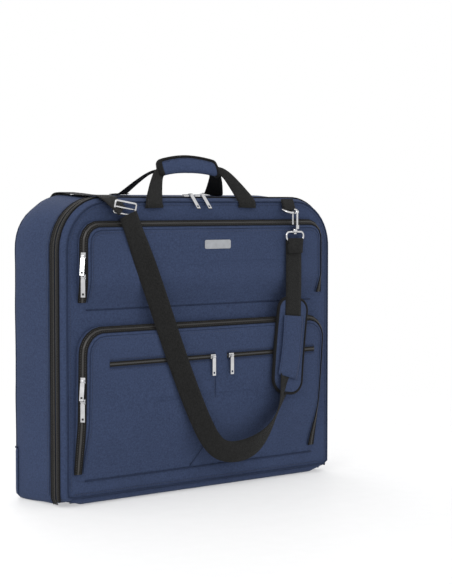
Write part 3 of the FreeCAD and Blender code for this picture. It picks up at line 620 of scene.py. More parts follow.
def trays():
    wall = 3 * MM
    middle = 0.258
    y0, y1 = BACK_LOW.y, BACK_HIGH.y
    rows = face_rows(y1 - wall, middle, wall + 6 * MM, 8, 1, None)
    rows += [(y1 - wall - 3 * MM, wall + 1 * MM, 1, None), (y1 - 12 * MM, wall, 1, rear_shape)]
    rows += [(y1 - 12 * MM - (y1 - y0 - 12 * MM) * s / 5, wall, 1, rear_shape) for s in range(1, 5)]
    rows += [(y0 + 1.5 * MM, wall, 1, rear_shape), (y0, wall - 1 * MM, 1, rear_shape),
             (y0, 0.8 * MM, 0, rear_shape)]
    rows += [(y0 + (y1 - y0 - 12 * MM) * s / 9 + 1.2 * MM, 0, 0, rear_shape) for s in range(10)]
    for angle in (20, 45, 70):
        turn = math.radians(angle)
        rows.append((y1 - 10 * MM * (1 - math.sin(turn)), 10 * MM * (1 - math.cos(turn)), 0, rear_shape))
    rows += face_rows(y1, 10 * MM, middle, 22, 0, back_face)
    rear = shell("rear_shell_cloth", TRAY, rows, "back_half", ["back_shell"])

    f0, f1 = FRONT_HIGH.y, FRONT_LOW.y
    rim = 9 * MM
    middle = 0.254
    rows = face_rows(f1 + wall, middle, rim + 2 * MM, 6, 1, None)
    rows += [(f1 + wall + 2 * MM, rim, 1, None), (f0 - 8 * MM, rim, 1, None), (f0 - 1 * MM, rim, 1, None),
             (f0, rim - 1 * MM, 1, None), (f0, 0.8 * MM, 0, None), (f0 - 1.2 * MM, 0, 0, None),
             (f0 - 6 * MM, 0, 0, None), (f0 - 11 * MM, 0.2 * MM, 0, None),
             (f0 - 14 * MM, 1.2 * MM, 0, None), (f0 - 19 * MM, 4.2 * MM, 0, None),
             (f1 + 1.0 * MM, 7.0 * MM, 0, None)]
    rows += face_rows(f1, BEVEL_IN, middle, 22, 0, front_face)
    front = shell("front_shell_cloth", FRONT, rows, "front_half", ["front_shell"])
    return rear, front


def front_face(point, out):
    """The front panel: flat at its piped edge, with a slight crown and soft ripples."""
    x, z = point.x / FRONT_HIGH.x, (point.z - 0.267) / 0.259
    crown = max(0.0, 1 - x ** 6) * max(0.0, 1 - z ** 6)
    ripple = wobble(point.x, point.z, 10, 5.3) * 0.6 * MM
    return point + FORWARD * (crown * (0.9 * MM + ripple))


def on_rear(stations):
    """A sewn line moved out to where the soft gusset really is."""
    return [(rear_shape(point, Vector((lift.x, 0, lift.z)).normalized()), side, lift)
            for point, side, lift in stations]


def tray_edges():
    """Main zipper: tapes, coils and binding on both halves, then the piping and seams."""
    rear_y = node_box("main_zip_rear")
    front_y = node_box("main_zip_front")
    low_ends = {"rear": 3 * MM, "front": 9 * MM}
    for half, outline, box, body, node in (
        ("rear", TRAY, rear_y, "back_half", "main_zip_rear"),
        ("front", TRAY, front_y, "front_half", "main_zip_front"),
    ):
        path = outline.path(low_end=low_ends[half])
        y = (box[0].y + box[1].y) / 2
        width = box[1].y - box[0].y
        stations = seam_stations(path, y, 1.0)
        tape = sweep(f"main_tape_{half}", stations, shifted(band(width, 1.2 * MM), 0.7 * MM),
                     TAPE, body)
        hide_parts(node)
        inner = -1 if half == "rear" else 1
        coil_at = inner * -(width / 2 - 3.0 * MM)
        zipper_coil(f"main_coil_{half}", seam_stations(path, y, 1.0), COIL, body,
                    shift=-coil_at, width=3.6 * MM, height=2.2 * MM)
        bead_at = inner * (width / 2 - 1.0 * MM)
        bead = [(p + side * -bead_at, side, lift) for p, side, lift in stations]
        sweep(f"main_bead_{half}", bead, shifted(circle(1.5 * MM, 8), 0.8 * MM), BINDING, body)
        stitches(f"main_stitch_{half}", stations, BLACK_THREAD, body,
                 shift=-inner * (width / 2 - 3.6 * MM), rise=1.4 * MM)

    seam_y = rear_y[1].y + 5 * MM
    closed = TRAY.path(low_end=6 * MM)
    stations = on_rear(seam_stations(closed, seam_y, 1.0))
    ridge = [(a * MM, b * MM) for a, b in ((-1.7, -0.4), (-0.9, 0.55), (0, 0.7), (0.9, 0.55), (1.7, -0.4))]
    sweep("gusset_fell", stations, ridge, NAVY_SEAM_SHADE, "back_half")
    stitches("gusset_stitch", on_rear(seam_stations(closed, seam_y + 5 * MM, 1.0)), THREAD,
             "back_half")

    pipe_path = FRONT.path(inset=BEVEL_IN - 1.0 * MM, closed=True)
    pipe_y = FRONT_LOW.y - 0.2 * MM
    stations = seam_stations(pipe_path, pipe_y, 0.35)
    piping = sweep("front_piping_cord", stations, circle(1.7 * MM, 10), NAVY_SEAM_SHADE, "front_half",
                   closed=True)
    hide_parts("front_piping")
    stitch_path = FRONT.path(inset=BEVEL_IN + 5 * MM, closed=True)
    stitches("front_edge_stitch", seam_stations(stitch_path, FRONT_LOW.y - 0.5 * MM, 0.0),
             THREAD, "front_half")

    back_pipe = TRAY.path(inset=3.0 * MM, closed=True)
    stations = on_rear(seam_stations(back_pipe, BACK_HIGH.y - 2.2 * MM, 0.5))
    sweep("back_piping_cord", stations, circle(1.7 * MM, 8), NAVY_SEAM_SHADE, "back_half",
          closed=True)


def shifted(section, lift):
    return [(a, b + lift) for a, b in section]


# ------------------------------------------------------------------------ front pockets


SKIN = 0.2 * MM
POCKET_BACK = FRONT_LOW.y
LOWER_LEAN = (-6 * MM, -24 * MM)  # how far each leg of the lower pocket leans at its foot
LOW_BOX = node_box("lower_pocket")
UP_BOX = node_box("upper_pocket")


def lower_warp(x, z):
    """The lower pocket's legs lean to the left towards the foot, the right one more."""
    low, high = LOW_BOX
    t = min(1.0, max(0.0, (z - low.z) / (high.z - low.z)))
    share = (x - low.x) / (high.x - low.x)
    lean = LOWER_LEAN[0] * (1 - share) ** 2 + LOWER_LEAN[1] * share ** 2
    return x + lean * (1 - t) ** 1.4, z


LOWER = Outline(LOW_BOX[0].x, LOW_BOX[1].x, LOW_BOX[0].z, LOW_BOX[1].z, 14 * MM, 45 * MM, lower_warp)
UPPER = Outline(UP_BOX[0].x, UP_BOX[1].x, UP_BOX[0].z, UP_BOX[1].z, 14 * MM, 36 * MM)


POCKETS = {
    # outline, box, seed of the ripples, crown, height over which the depth grows from the foot
    "upper": (UPPER, UP_BOX, 11.0, 1.4 * MM, 55 * MM),
    "lower": (LOWER, LOW_BOX, 17.0, 2.2 * MM, 110 * MM),
}
SMALL_ZIP_Z = (node_box("small_zip_left")[0].z + node_box("small_zip_left")[1].z) / 2


def footed(name, point):
    """A pocket's point with its depth fading to a flat seam at the foot."""
    back = POCKET_BACK - SKIN
    return Vector((point.x, back + (point.y - back) * foot_share(name, point.z), point.z))


def pocket_shape(name):
    """How a pocket's face swells and ripples, fading towards its sewn edge."""
    _, (low, high), seed, crown, _ = POCKETS[name]

    def shaping(point, out):
        x = (point.x - (low.x + high.x) / 2) / ((high.x - low.x) / 2)
        z = (point.z - (low.z + high.z) / 2) / ((high.z - low.z) / 2)
        fade = max(0.0, 1 - abs(x) ** 5) * max(0.0, 1 - abs(z) ** 5)
        ripple = (wobble(point.x, point.z, 9, seed) * 1.1 * MM
                  + wobble(point.x, point.z, 24, seed + 4) * 0.4 * MM)
        if name == "lower":
            fade *= 1 - 0.9 * math.exp(-((point.z - SMALL_ZIP_Z) / (20 * MM)) ** 2)
        return footed(name, point + FORWARD * (fade * (crown + ripple)))

    return shaping


def on_pocket(name, x, z, rise=0.0):
    """The point of a pocket's face in front of (x, z), raised by rise."""
    front = POCKETS[name][1][0].y
    return pocket_shape(name)(Vector((x, front, z)), FORWARD) + FORWARD * rise


def pockets():
    for name, (outline, box, _, _, _) in POCKETS.items():
        back, front = POCKET_BACK - SKIN, box[0].y
        inside = pocket_shape(name)

        def edge(point, out, name=name):
            return footed(name, point)

        half = (box[1].z - box[0].z) / 2 - 3 * MM
        rows = face_rows(back, half, 10 * MM, 4, 0, None)
        rows += [(back, 0.4 * MM, 0, None), (back - 1.5 * MM, 0, 0, edge),
                 (front + 14 * MM, 0.2 * MM, 0, edge),
                 (front + 9 * MM, 4 * MM, 0, edge), (front + 4.5 * MM, 8 * MM, 0, edge),
                 (front + 1.2 * MM, 11.2 * MM, 0, edge), (front + 0.2 * MM, 13 * MM, 0, edge)]
        rows += face_rows(front, 16 * MM, half, 16, 0, inside)
        shell(f"{name}_pocket_cloth", outline, rows, "front_half", [f"{name}_pocket"])
        pocket_edges(name, outline, box)


def foot_share(name, z):
    _, box, _, _, span = POCKETS[name]
    return 0.06 + 0.94 * ease(z, box[0].z - 2 * MM, box[0].z + span)


def on_foot(name, path, y, out_share):
    """Stations of a pocket's sewn line, which turns flat as the pocket's depth fades."""
    raised, flat = seam_stations(path, y, out_share), seam_stations(path, y, 0.0)
    made = []
    for (point, side, lift), (_, flat_side, flat_lift) in zip(raised, flat):
        share = foot_share(name, point.z)
        at = footed(name, point) + FORWARD * (1.4 * MM * (1 - share))
        made.append((at, flat_side.lerp(side, share).normalized(), flat_lift.lerp(lift, share).normalized()))
    return made


def pocket_edges(name, outline, box):
    """The curved zipper of a pocket, in its bevelled edge, with bound edges and stitching."""
    front = box[0].y
    low_end = box[0].z + 14 * MM
    path = outline.path(inset=5.6 * MM, low_end=low_end)
    share = 0.54
    stations = on_foot(name, path, front + 7.0 * MM, share)
    tape = sweep(f"{name}_pocket_tape", stations, shifted(band(15 * MM, 1.1 * MM), 0.9 * MM), TAPE,
                 "front_half")
    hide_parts(f"{name}_pocket_zip")
    zipper_coil(f"{name}_pocket_coil", stations_raised(stations, 1.2 * MM), COIL, "front_half",
                width=4.0 * MM, height=1.3 * MM)
    for side, at in (("in", -6.6 * MM), ("out", 6.6 * MM)):
        edge = [(p + across * at, across, lift) for p, across, lift in stations]
        sweep(f"{name}_tape_fold_{side}", edge, shifted(circle(1.1 * MM, 8, 0.8), 1.0 * MM), BINDING,
              "front_half")
        stitches(f"{name}_tape_stitch_{side}", stations, BLACK_THREAD, "front_half",
                 shift=at * 0.68, rise=1.6 * MM)
    welt_path = outline.path(inset=15.5 * MM, low_end=low_end)
    welt = on_foot(name, welt_path, front - 0.3 * MM, 0.0)
    sweep(f"{name}_welt", welt, circle(1.1 * MM, 8, 0.7), NAVY_SEAM_SHADE, "front_half")
    stitched = on_foot(name, outline.path(inset=20 * MM, low_end=low_end), front - 0.8 * MM, 0.0)
    stitches(f"{name}_welt_stitch", stitched, THREAD, "front_half")
    low, high = box
    foot = [Vector((low.x + 16 * MM + (high.x - low.x - 40 * MM) * s / 40,
                    POCKET_BACK - 1.6 * MM, low.z + 1 * MM)) for s in range(41)]
    sweep(f"{name}_foot_seam", frames_along(foot, FORWARD), circle(1.2 * MM, 8, 0.7), NAVY_SEAM_SHADE,
          "front_half")


def stations_raised(stations, rise):
    return [(p + lift * rise, side, lift) for p, side, lift in stations]


# ------------------------------------------------------------------------ strap as a real cord


STRAP_ROUTE = (
    (-186, -96.0, 497), (-141, -101.2, 384), (-92, -107.4, 250), (-46, -112.4, 140), (-14, -115.0, 84),
    (22, -115.8, 67), (74, -115.6, 71), (116, -114.4, 95), (144, -112.6, 135), (164, -110.3, 186),
    (180, -107.4, 250), (190, -102.7, 352), (192, -98.4, 445),
)
STRAP_FOLD = 0.66  # share of its length at which the webbing shows its edge


def strap_line():
    """The strap's smooth centreline, and evenly read points along it."""
    curve = bpy.data.curves.new("strap_route", "CURVE")
    curve.dimensions = "3D"
    spline = curve.splines.new("NURBS")
    spline.points.add(len(STRAP_ROUTE) - 1)
    for point, (x, y, z) in zip(spline.points, STRAP_ROUTE):
        point.co = (x * MM, y * MM, z * MM, 1)
    spline.order_u = 3
    spline.use_endpoint_u = True
    curve.resolution_u = 16
    carrier = bpy.data.objects.new("strap_route", curve)
    bpy.context.scene.collection.objects.link(carrier)
    bpy.context.view_layer.update()
    line = bpy.data.meshes.new_from_object(carrier.evaluated_get(bpy.context.evaluated_depsgraph_get()))
    points = [v.co.copy() for v in line.vertices]
    bpy.data.objects.remove(carrier)
    return points


def shoulder_strap():
    points = [p for p, in respace([(p,) for p in strap_line()], 6 * MM)]
    stations = []
    for index, point in enumerate(points):
        share = index / (len(points) - 1)
        ahead = (points[min(index + 1, len(points) - 1)] - points[max(index - 1, 0)]).normalized()
        face = Vector((-0.36 * ease(share, 0.02, 0.12) * ease(share, 0.62, 0.45), -1.0, 0.03))
        lift = (face - ahead * face.dot(ahead)).normalized()
        turn = 0.8 * ease(share, STRAP_FOLD - 0.13, STRAP_FOLD) * ease(share, STRAP_FOLD + 0.11, STRAP_FOLD)
        lift = Quaternion(ahead, turn) @ lift
        stations.append((point, ahead.cross(lift).normalized(), lift))
    strap = sweep("shoulder_strap_webbing", stations, band(WEB_W, WEB_THICK), WEBBING, "front_half")
    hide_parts("shoulder_strap")
    return points


# ------------------------------------------------------------------------ helpers for soft pieces


def at_mm(x, y, z):
    return Vector((x * MM, y * MM, z * MM))


def slab(name, outer, inner, material, body):
    """A closed skin between two equal grids of points."""
    rows, cols = len(outer), len(outer[0])
    verts = [v for row in outer for v in row] + [v for row in inner for v in row]
    back = rows * cols
    faces = []
    for r in range(rows - 1):
        for c in range(cols - 1):
            a, b, d, e = r * cols + c, r * cols + c + 1, (r + 1) * cols + c + 1, (r + 1) * cols + c
            faces.append((a, b, d, e))
            faces.append((back + e, back + d, back + b, back + a))
    edge = ([c for c in range(cols)] + [r * cols + cols - 1 for r in range(1, rows)]
            + [(rows - 1) * cols + c for c in range(cols - 2, -1, -1)]
            + [r * cols for r in range(rows - 2, 0, -1)])
    for here, following in zip(edge, edge[1:] + edge[:1]):
        faces.append((here, back + here, back + following, following))
    return mesh_piece(name, verts, faces, material, body)


def cushion(name, outline, place, thick, puff, rounding, material, body, steps=7):
    """A closed crowned form on an outline; place(x, z, lift) gives a point, lift 0 at the back."""
    left, right, low, high = outline.sides
    half = min(right - left, high - low) / 2 * 0.97
    rows = [(rounding + (half - rounding) * (1 - s / 3), 0.0) for s in range(4)]
    for degrees in (-60, -30, 0, 30, 60):
        angle = math.radians(degrees)
        rows.append((rounding * (1 - math.cos(angle)), thick / 2 * (1 + math.sin(angle))))
    for step in range(steps + 1):
        share = step / steps
        rows.append((rounding + (half - rounding) * share, thick + puff * (1 - (1 - share) ** 2)))
    verts, faces, size = [], [], 0
    for inset, lift in rows:
        loop = outline.ring(inset, runs=(14, 10), arc=6)
        size = len(loop)
        verts += [place(x, z, lift) for x, z, _, _ in loop]
    for row in range(len(rows) - 1):
        for index in range(size):
            right_one = (index + 1) % size
            faces.append((row * size + index, row * size + right_one,
                          (row + 1) * size + right_one, (row + 1) * size + index))
    last = (len(rows) - 1) * size
    faces += [tuple(range(size)), tuple(last + index for index in reversed(range(size)))]
    return mesh_piece(name, verts, faces, material, body)


def ribbon(name, points, widths, face, material, body, thick=WEB_THICK, crown=0.0, count=48):
    """Webbing along a smooth line, its width following the given widths."""
    line = smooth_line(points, count)
    stations = frames_along(line, face)

    def section(index):
        at = index / count * (len(widths) - 1)
        base = min(int(at), len(widths) - 2)
        width = widths[base] + (widths[base + 1] - widths[base]) * (at - base)
        return band(width, thick, crown)

    return sweep(name, stations, section, material, body), stations


def webbing_fold(name, bar, tail, half_len, radius, thick, material, body, nodes=()):
    """Webbing folded round a bar along X, both layers running on to the tail."""
    run = (tail - bar)
    run.x = 0
    length = run.length
    run.normalize()
    across = Vector((1, 0, 0)).cross(run)
    outline = []
    for step in range(13):
        angle = math.radians(-105 + 210 * step / 12)
        outline.append(run * (-radius * math.cos(angle)) + across * (radius * math.sin(angle)))
    outline.append(run * (radius * 1.7) + across * (thick * 0.75))
    outline.append(run * length + across * (thick * 0.5))
    outline.append(run * length - across * (thick * 0.5))
    outline.append(run * (radius * 1.7) - across * (thick * 0.75))
    stations = [(bar + Vector((half_len * s / 4, 0, 0)), Vector((0, 1, 0)), UP) for s in range(-4, 5)]
    item = sweep(name, stations, [(v.y, v.z) for v in outline], material, body)
    if nodes:
        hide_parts(*nodes)
    return item


def rounded_loop(half_w, low, high, radius, arc=6):
    """Closed (x, z) points of a rectangle with round corners."""
    return [(x, z) for x, z, _, _ in
            Outline(-half_w, half_w, low, high, radius, radius).ring(0, runs=(6, 6), arc=arc)]


# ------------------------------------------------------------------------ handles and grip


FRONT_FOOT = (at_mm(-12, -83, 513), Vector((0, 0.454, 0.891)), Vector((0, -0.891, 0.454)))
REAR_FOOT = (at_mm(-12, 22, 528.4), Vector((0, -0.743, 0.669)), Vector((0, -0.669, -0.743)))
GRIP_HALF = 64 * MM
GRIP_SHIFT = Vector((-7 * MM, 0, 0))
ARCH = ((-104, 10), (-90, 40), (-77, 61), (-62, 70), (-30, 76), (0, 78), (30, 76), (62, 70),
        (77, 61), (90, 40), (104, 10))
ARCH_WIDTHS = (39, 36, 27, 20, 16, 15, 15, 15, 16, 20, 27, 36, 39)


def handle_line(frame_of, reach, feet):
    """The handle's middle line, foot to foot, with the sewn ends given in the bag's frame."""
    origin, up, _ = frame_of
    arch = [origin + Vector((a * MM, 0, 0)) + up * (r * reach * MM) for a, r in ARCH]
    left = [Vector((origin.x - 106 * MM, y, z)) for y, z in feet]
    right = [Vector((origin.x + 106 * MM, y, z)) for y, z in reversed(feet)]
    return left + arch + right


def handles():
    front_feet = ((-80.0 * MM, 508 * MM), (-80.8 * MM, 514 * MM))
    top = 526.5 * MM
    rear_feet = ((28 * MM, top + 0.6 * dome(0.028) + 1.6 * MM), (21 * MM, top + 0.6 * dome(0.021) + 2.4 * MM))
    for name, where, reach, feet, body in (
        ("front_handle", FRONT_FOOT, 1.0, front_feet, "front_handle_body"),
        ("rear_handle", REAR_FOOT, 0.97, rear_feet, "rear_handle_body"),
    ):
        widths = [w * MM for w in (40,) + ARCH_WIDTHS + (40,)]
        item, stations = ribbon(f"{name}_webbing", handle_line(where, reach, feet), widths, where[2],
                                WEBBING, body, thick=2.2 * MM, count=96)
        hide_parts(name)
        for side, part in (("left", stations[3:13]), ("right", stations[-13:-3])):
            for edge in (-15 * MM, 15 * MM):
                stitches(f"{name}_stitch_{side}_{'in' if edge > 0 else 'out'}", part, BLACK_THREAD, body,
                         shift=edge, rise=1.3 * MM)


def grip():
    """The padded grip: a soft navy roll round the handle, bound in black along its upper edge."""
    origin, up, normal = FRONT_FOOT
    origin = origin + GRIP_SHIFT + up * (2.5 * MM)
    count = 36
    stations = []
    for index in range(count + 1):
        u = -1 + 2 * index / count
        centre = origin + Vector((u * GRIP_HALF, 0, 0)) + up * ((78 - 9 * u * u) * MM)
        stations.append((centre, normal, up))

    def section(index):
        u = abs(-1 + 2 * index / count)
        end = math.sqrt(max(0.0, 1 - max(0.0, (u - 0.88) / 0.12) ** 2)) * 0.6 + 0.4
        half_h, half_t = (15.5 - 1.5 * u) * MM * end, (7.2 - 0.8 * u) * MM * end
        soft = wobble(index * 0.011, 0.3, 30, 9.0) * 0.5 * MM
        points = []
        for step in range(20):
            angle = math.tau * step / 20
            c, s = math.cos(angle), math.sin(angle)
            points.append(((half_t + soft) * math.copysign(abs(c) ** 0.85, c),
                           half_h * math.copysign(abs(s) ** 0.8, s)))
        return points

    roll = sweep("grip_pad", stations, section, NAVY, "front_handle_body")
    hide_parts("handle_grip")

    binding = []
    for u in (-1.0, -1.0, -0.97):
        binding.append((u, -13.0 if len(binding) == 0 else (0.0 if len(binding) == 1 else 12.0)))
    binding += [(-0.88 + 1.76 * s / 10, 15.0 - 0.9 * abs(-0.88 + 1.76 * s / 10)) for s in range(11)]
    binding += [(0.97, 12.0), (1.0, 0.0), (1.0, -13.0)]
    line = [origin + Vector((u * GRIP_HALF, 0, 0)) + up * ((78 - 9 * u * u + rise) * MM)
            for u, rise in binding]
    smooth = smooth_line(line, 72)
    stations = []
    for index, point in enumerate(smooth):
        ahead = (smooth[min(index + 1, 72)] - smooth[max(index - 1, 0)]).normalized()
        stations.append((point, normal, ahead.cross(normal).normalized()))

    def oval(index):
        thick = (5.2 - 1.6 * ease(index, 4, 16)) * MM
        return [(7.6 * MM * math.cos(math.tau * s / 14), thick * math.sin(math.tau * s / 14))
                for s in range(14)]

    sweep("grip_binding", stations, oval, BINDING, "front_handle_body")
    middle = [(p + normal * 6.6 * MM - up * 5 * MM, s, l) for p, s, l in stations[14:-14]]
    stitches("grip_stitch", [(p, up, normal) for p, _, _ in middle], THREAD, "front_handle_body")


# ------------------------------------------------------------------------ shoulder pad and strap fittings


PAD_CENTRE = at_mm(179, -107.3, 252)
PAD_RIGHT = Vector((0.990, -0.0064, -0.139))
PAD_UP = Vector((0.139, 0.0456, 0.989))
PAD_OUT = Vector((0, -0.9989, 0.0461))


def on_pad(x, z, lift):
    bow = 2.2 * MM * (z / 0.086) ** 2
    return PAD_CENTRE + PAD_RIGHT * x + PAD_UP * z + PAD_OUT * (lift - 7.4 * MM + bow)


def pad_and_sleeve(points):
    outline = Outline(-35 * MM, 35 * MM, -88 * MM, 88 * MM, 26 * MM, 22 * MM)
    pad = cushion("shoulder_pad_cloth", outline, on_pad, 4.4 * MM, 1.3 * MM, 3 * MM, NAVY,
                  "front_half")
    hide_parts("shoulder_pad")
    edge = [on_pad(x, z, 2.3 * MM) for x, z, _, _ in outline.ring(0, runs=(20, 12), arc=8)]
    stations = []
    for index, point in enumerate(edge):
        ahead = (edge[(index + 1) % len(edge)] - edge[index - 1]).normalized()
        stations.append((point, ahead.cross(PAD_OUT).normalized(), PAD_OUT))
    oval = [(2.8 * MM * math.cos(math.tau * s / 12), 3.4 * MM * math.sin(math.tau * s / 12))
            for s in range(12)]
    sweep("pad_binding", stations, oval, BINDING, "front_half", closed=True)

    rising = [p for p in points if p.x > 0.1 and 0.192 < p.z < 0.313]
    stations = frames_along(rising, Vector((0, -1, 0.03)))
    covered = [(p + lift * 2.2 * MM, side, lift) for p, side, lift in stations]
    sleeve = sweep("pad_sleeve_cloth", covered, band(47 * MM, 1.5 * MM, 0.9 * MM, across=10), NAVY,
                   "front_half")
    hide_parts("pad_sleeve")
    for edge_at in (-20.5 * MM, 20.5 * MM):
        stitches(f"sleeve_stitch_{'r' if edge_at > 0 else 'l'}", covered, THREAD, "front_half",
                 shift=edge_at, rise=1.1 * MM)


def strap_fittings():
    """The webbing over the top, the slide, and the folds at both ends."""
    top = 528.0
    front, _ = ribbon("strap_front_webbing",
                      [at_mm(-214, -51.8, top + 1.6), at_mm(-214, -62, top + 1.8),
                       at_mm(-213, -74, top - 1.5),
                       at_mm(-209, -84, 519), at_mm(-203, -91, 510), at_mm(-197, -94.5, 503)],
                      [WEB_W] * 6, Vector((0, -0.4, 1)), WEBBING, "front_half")
    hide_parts("strap_front_run")
    rise = [0.6 * dome(y * MM) / MM for y in (-49, -10, 30, 60)]
    rear, _ = ribbon("strap_rear_webbing",
                     [at_mm(-214, -49, top + 1.6 + rise[0]), at_mm(-214, -10, top + 1.4 + rise[1]),
                      at_mm(-214, 30, top + 1.4 + rise[2]), at_mm(-214, 60, top + 1.4 + rise[3]),
                      at_mm(-214, 76, 526), at_mm(-214, 86, 515), at_mm(-214, 89.5, 506)],
                     [WEB_W] * 7, UP, WEBBING, "back_half")
    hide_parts("strap_rear_run")

    low, high = node_box("strap_adjuster")
    middle = (low + high) / 2
    tilt = math.radians(-9)
    right = Vector((math.cos(tilt), 0, math.sin(tilt)))
    up = Vector((-math.sin(tilt), -0.12, math.cos(tilt))).normalized()
    loop = [middle + right * x + up * z + FORWARD * 1.5 * MM
            for x, z in rounded_loop(22 * MM, -10.5 * MM, 10.5 * MM, 3.2 * MM)]
    slide = tube("strap_slide_frame", loop, 1.7 * MM, NICKEL, "front_half", closed=True, sides=12)
    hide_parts("strap_adjuster")
    bar = [middle + right * x * MM + FORWARD * 1.5 * MM for x in (-22, -8, 8, 22)]
    tube("strap_slide_bar", bar, 1.4 * MM, NICKEL, "front_half", sides=12)

    for side, turn, body in (("front", 1, "front_half"), ("rear", -1, "back_half")):
        tab_low, tab_high = node_box(f"{side}_ring_tab")
        x = (tab_low.x + tab_high.x) / 2
        bar_y = (-86 if side == "front" else 74) * MM
        bar_z = (504 if side == "front" else 445) * MM
        tail = Vector((x, bar_y + turn * 6.5 * MM, bar_z + turn * 20 * MM))
        webbing_fold(f"{side}_tab_webbing", Vector((x, bar_y, bar_z)), tail, 14 * MM, 3.3 * MM, 3.0 * MM,
                     WEBBING, body, [f"{side}_ring_tab"])

        loop_low, loop_high = node_box(f"{side}_swivel_loop")
        centre = (loop_low + loop_high) / 2
        half_high = (loop_high.z - loop_low.z) / 2 - 2 * MM
        wire = [Vector((centre.x + x_at, centre.y, centre.z + turn * z_at))
                for x_at, z_at in rounded_loop(21 * MM, -half_high, half_high - 3 * MM, 7 * MM)]
        if turn < 0:
            wire.reverse()
        item = tube(f"{side}_loop_wire", wire, 2.0 * MM, NICKEL, body, closed=True, sides=12)
        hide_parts(f"{side}_swivel_loop")
        boss = [Vector((centre.x, centre.y, centre.z + turn * (half_high - 4.5 * MM + 7.5 * MM * s / 6)))
                for s in range(7)]

        def turned(index):
            return circle((3.4, 4.6, 5.0, 5.0, 5.0, 4.6, 3.4)[index] * MM, 16)

        sweep(f"{side}_loop_boss", frames_along(boss, FORWARD), turned, NICKEL, body)
        bar = Vector((centre.x, centre.y, centre.z - turn * half_high))
        tail_at = bar + Vector((0, turn * 0.5 * MM, -turn * 24 * MM)) if side == "front" else \
            bar + Vector((0, -1.5 * MM, 14 * MM))
        webbing_fold(f"{side}_strap_end", bar, tail_at, 18.5 * MM, 3.8 * MM, 3.6 * MM, WEBBING, body)


# ------------------------------------------------------------------------ small trims on the pockets


def small_zips():
    """The two level zippers of the lower pocket and the blank plate of the upper one."""
    for side in ("left", "right"):
        low, high = node_box(f"small_zip_{side}")
        z = (low.z + high.z) / 2
        count = 60
        line = [on_pocket("lower", low.x + (high.x - low.x) * s / count, z, 0.3 * MM)
                for s in range(count + 1)]
        stations = frames_along(line, FORWARD)
        item = sweep(f"small_tape_{side}", stations, band(10 * MM, 1.0 * MM), TAPE, "front_half")
        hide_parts(f"small_zip_{side}")
        zipper_coil(f"small_coil_{side}", stations_raised(stations, 0.5 * MM), COIL, "front_half",
                    width=3.2 * MM, height=1.0 * MM)
        for edge in (-5.4 * MM, 5.4 * MM):
            name = "low" if edge > 0 else "high"
            lip = [(p + across * edge, across, lift) for p, across, lift in stations]
            sweep(f"small_lip_{side}_{name}", lip, shifted(circle(1.2 * MM, 8, 0.7), 0.4 * MM), NAVY_SEAM_SHADE,
                  "front_half")
            stitches(f"small_stitch_{side}_{name}", stations, THREAD, "front_half",
                     shift=edge * 1.6, rise=0.6 * MM)

    low, high = node_box("badge_plate")
    mid_x, mid_z = (low.x + high.x) / 2, (low.z + high.z) / 2
    half_w, half_h = (high.x - low.x) / 2, (high.z - low.z) / 2 - 3 * MM
    outline = Outline(-half_w, half_w, -half_h, half_h, 3 * MM, 3 * MM)

    def place(x, z, lift):
        return on_pocket("upper", mid_x + x, mid_z + z, lift)

    plate = cushion("blank_plate", outline, place, 1.1 * MM, 0.15 * MM, 0.8 * MM, SATIN, "front_half")
    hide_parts("badge_plate")


def pocket_panel_seams():
    """The seam down the lower pocket's middle, which slants away towards the foot."""
    marks = ((5, 232), (5, 180), (4, 120), (-2, 95), (-16, 72), (-30, 55), (-38, 46))
    line = smooth_line([on_pocket("lower", x * MM, z * MM, 0.1 * MM) for x, z in marks], 60)
    stations = frames_along(line, FORWARD)
    sweep("lower_centre_seam", stations, circle(0.9 * MM, 8, 0.6), NAVY_SEAM_SHADE, "front_half")
    stitches("lower_centre_stitch", stations, THREAD, "front_half", shift=3 * MM)


# ------------------------------------------------------------------------ back, base and inside


def kick_guard():
    """A navy wrap low on the back and round both rear corners."""
    half_w, y_back, y_front, top = 306 * MM, BACK_HIGH.y, 54 * MM, 91 * MM
    corner = 10 * MM

    def plan(z):
        """Points and outward directions from the left front edge round to the right one."""
        rise = min(z, CORNER_LOW)
        tuck = CORNER_LOW - math.sqrt(CORNER_LOW ** 2 - (CORNER_LOW - rise) ** 2)
        made = []
        for sign in (-1, 1):
            side = []
            for s in range(7):
                y = y_front + (y_back - corner - y_front) * s / 6
                side.append((Vector((sign * (half_w - tuck + dome(y)), y, z)), Vector((sign, 0, 0))))
            reach = half_w - tuck + dome(y_back)
            for degrees in (22, 45, 68):
                a = math.radians(degrees)
                side.append((Vector((sign * (reach - corner * (1 - math.cos(a))),
                                     y_back - corner + corner * math.sin(a), z)),
                             Vector((sign * math.cos(a), math.sin(a), 0))))
            made.append(side)
        across = []
        for s in range(1, 40):
            x = -half_w + 14 * MM + (2 * half_w - 28 * MM) * s / 40
            across.append((back_face(Vector((x, y_back, z)), UP), Vector((0, 1, 0))))
        return made[0] + across + made[1][::-1]

    outer, inner = [], []
    for row in range(13):
        z = 2 * MM + (top - 2 * MM) * row / 12
        proud = 2.6 * MM if 0 < row < 12 else 1.6 * MM
        outer.append([p + out * proud for p, out in plan(z)])
        inner.append([p + out * 0.2 * MM for p, out in plan(z)])
    item = slab("kick_guard_cloth", outer, inner, NAVY, "back_half")
    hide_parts("kick_guard")
    line = [p + out * 2.4 * MM for p, out in plan(top - 0.5 * MM)]
    tube("guard_binding_top", line, 1.5 * MM, NAVY_SEAM_SHADE, "back_half")


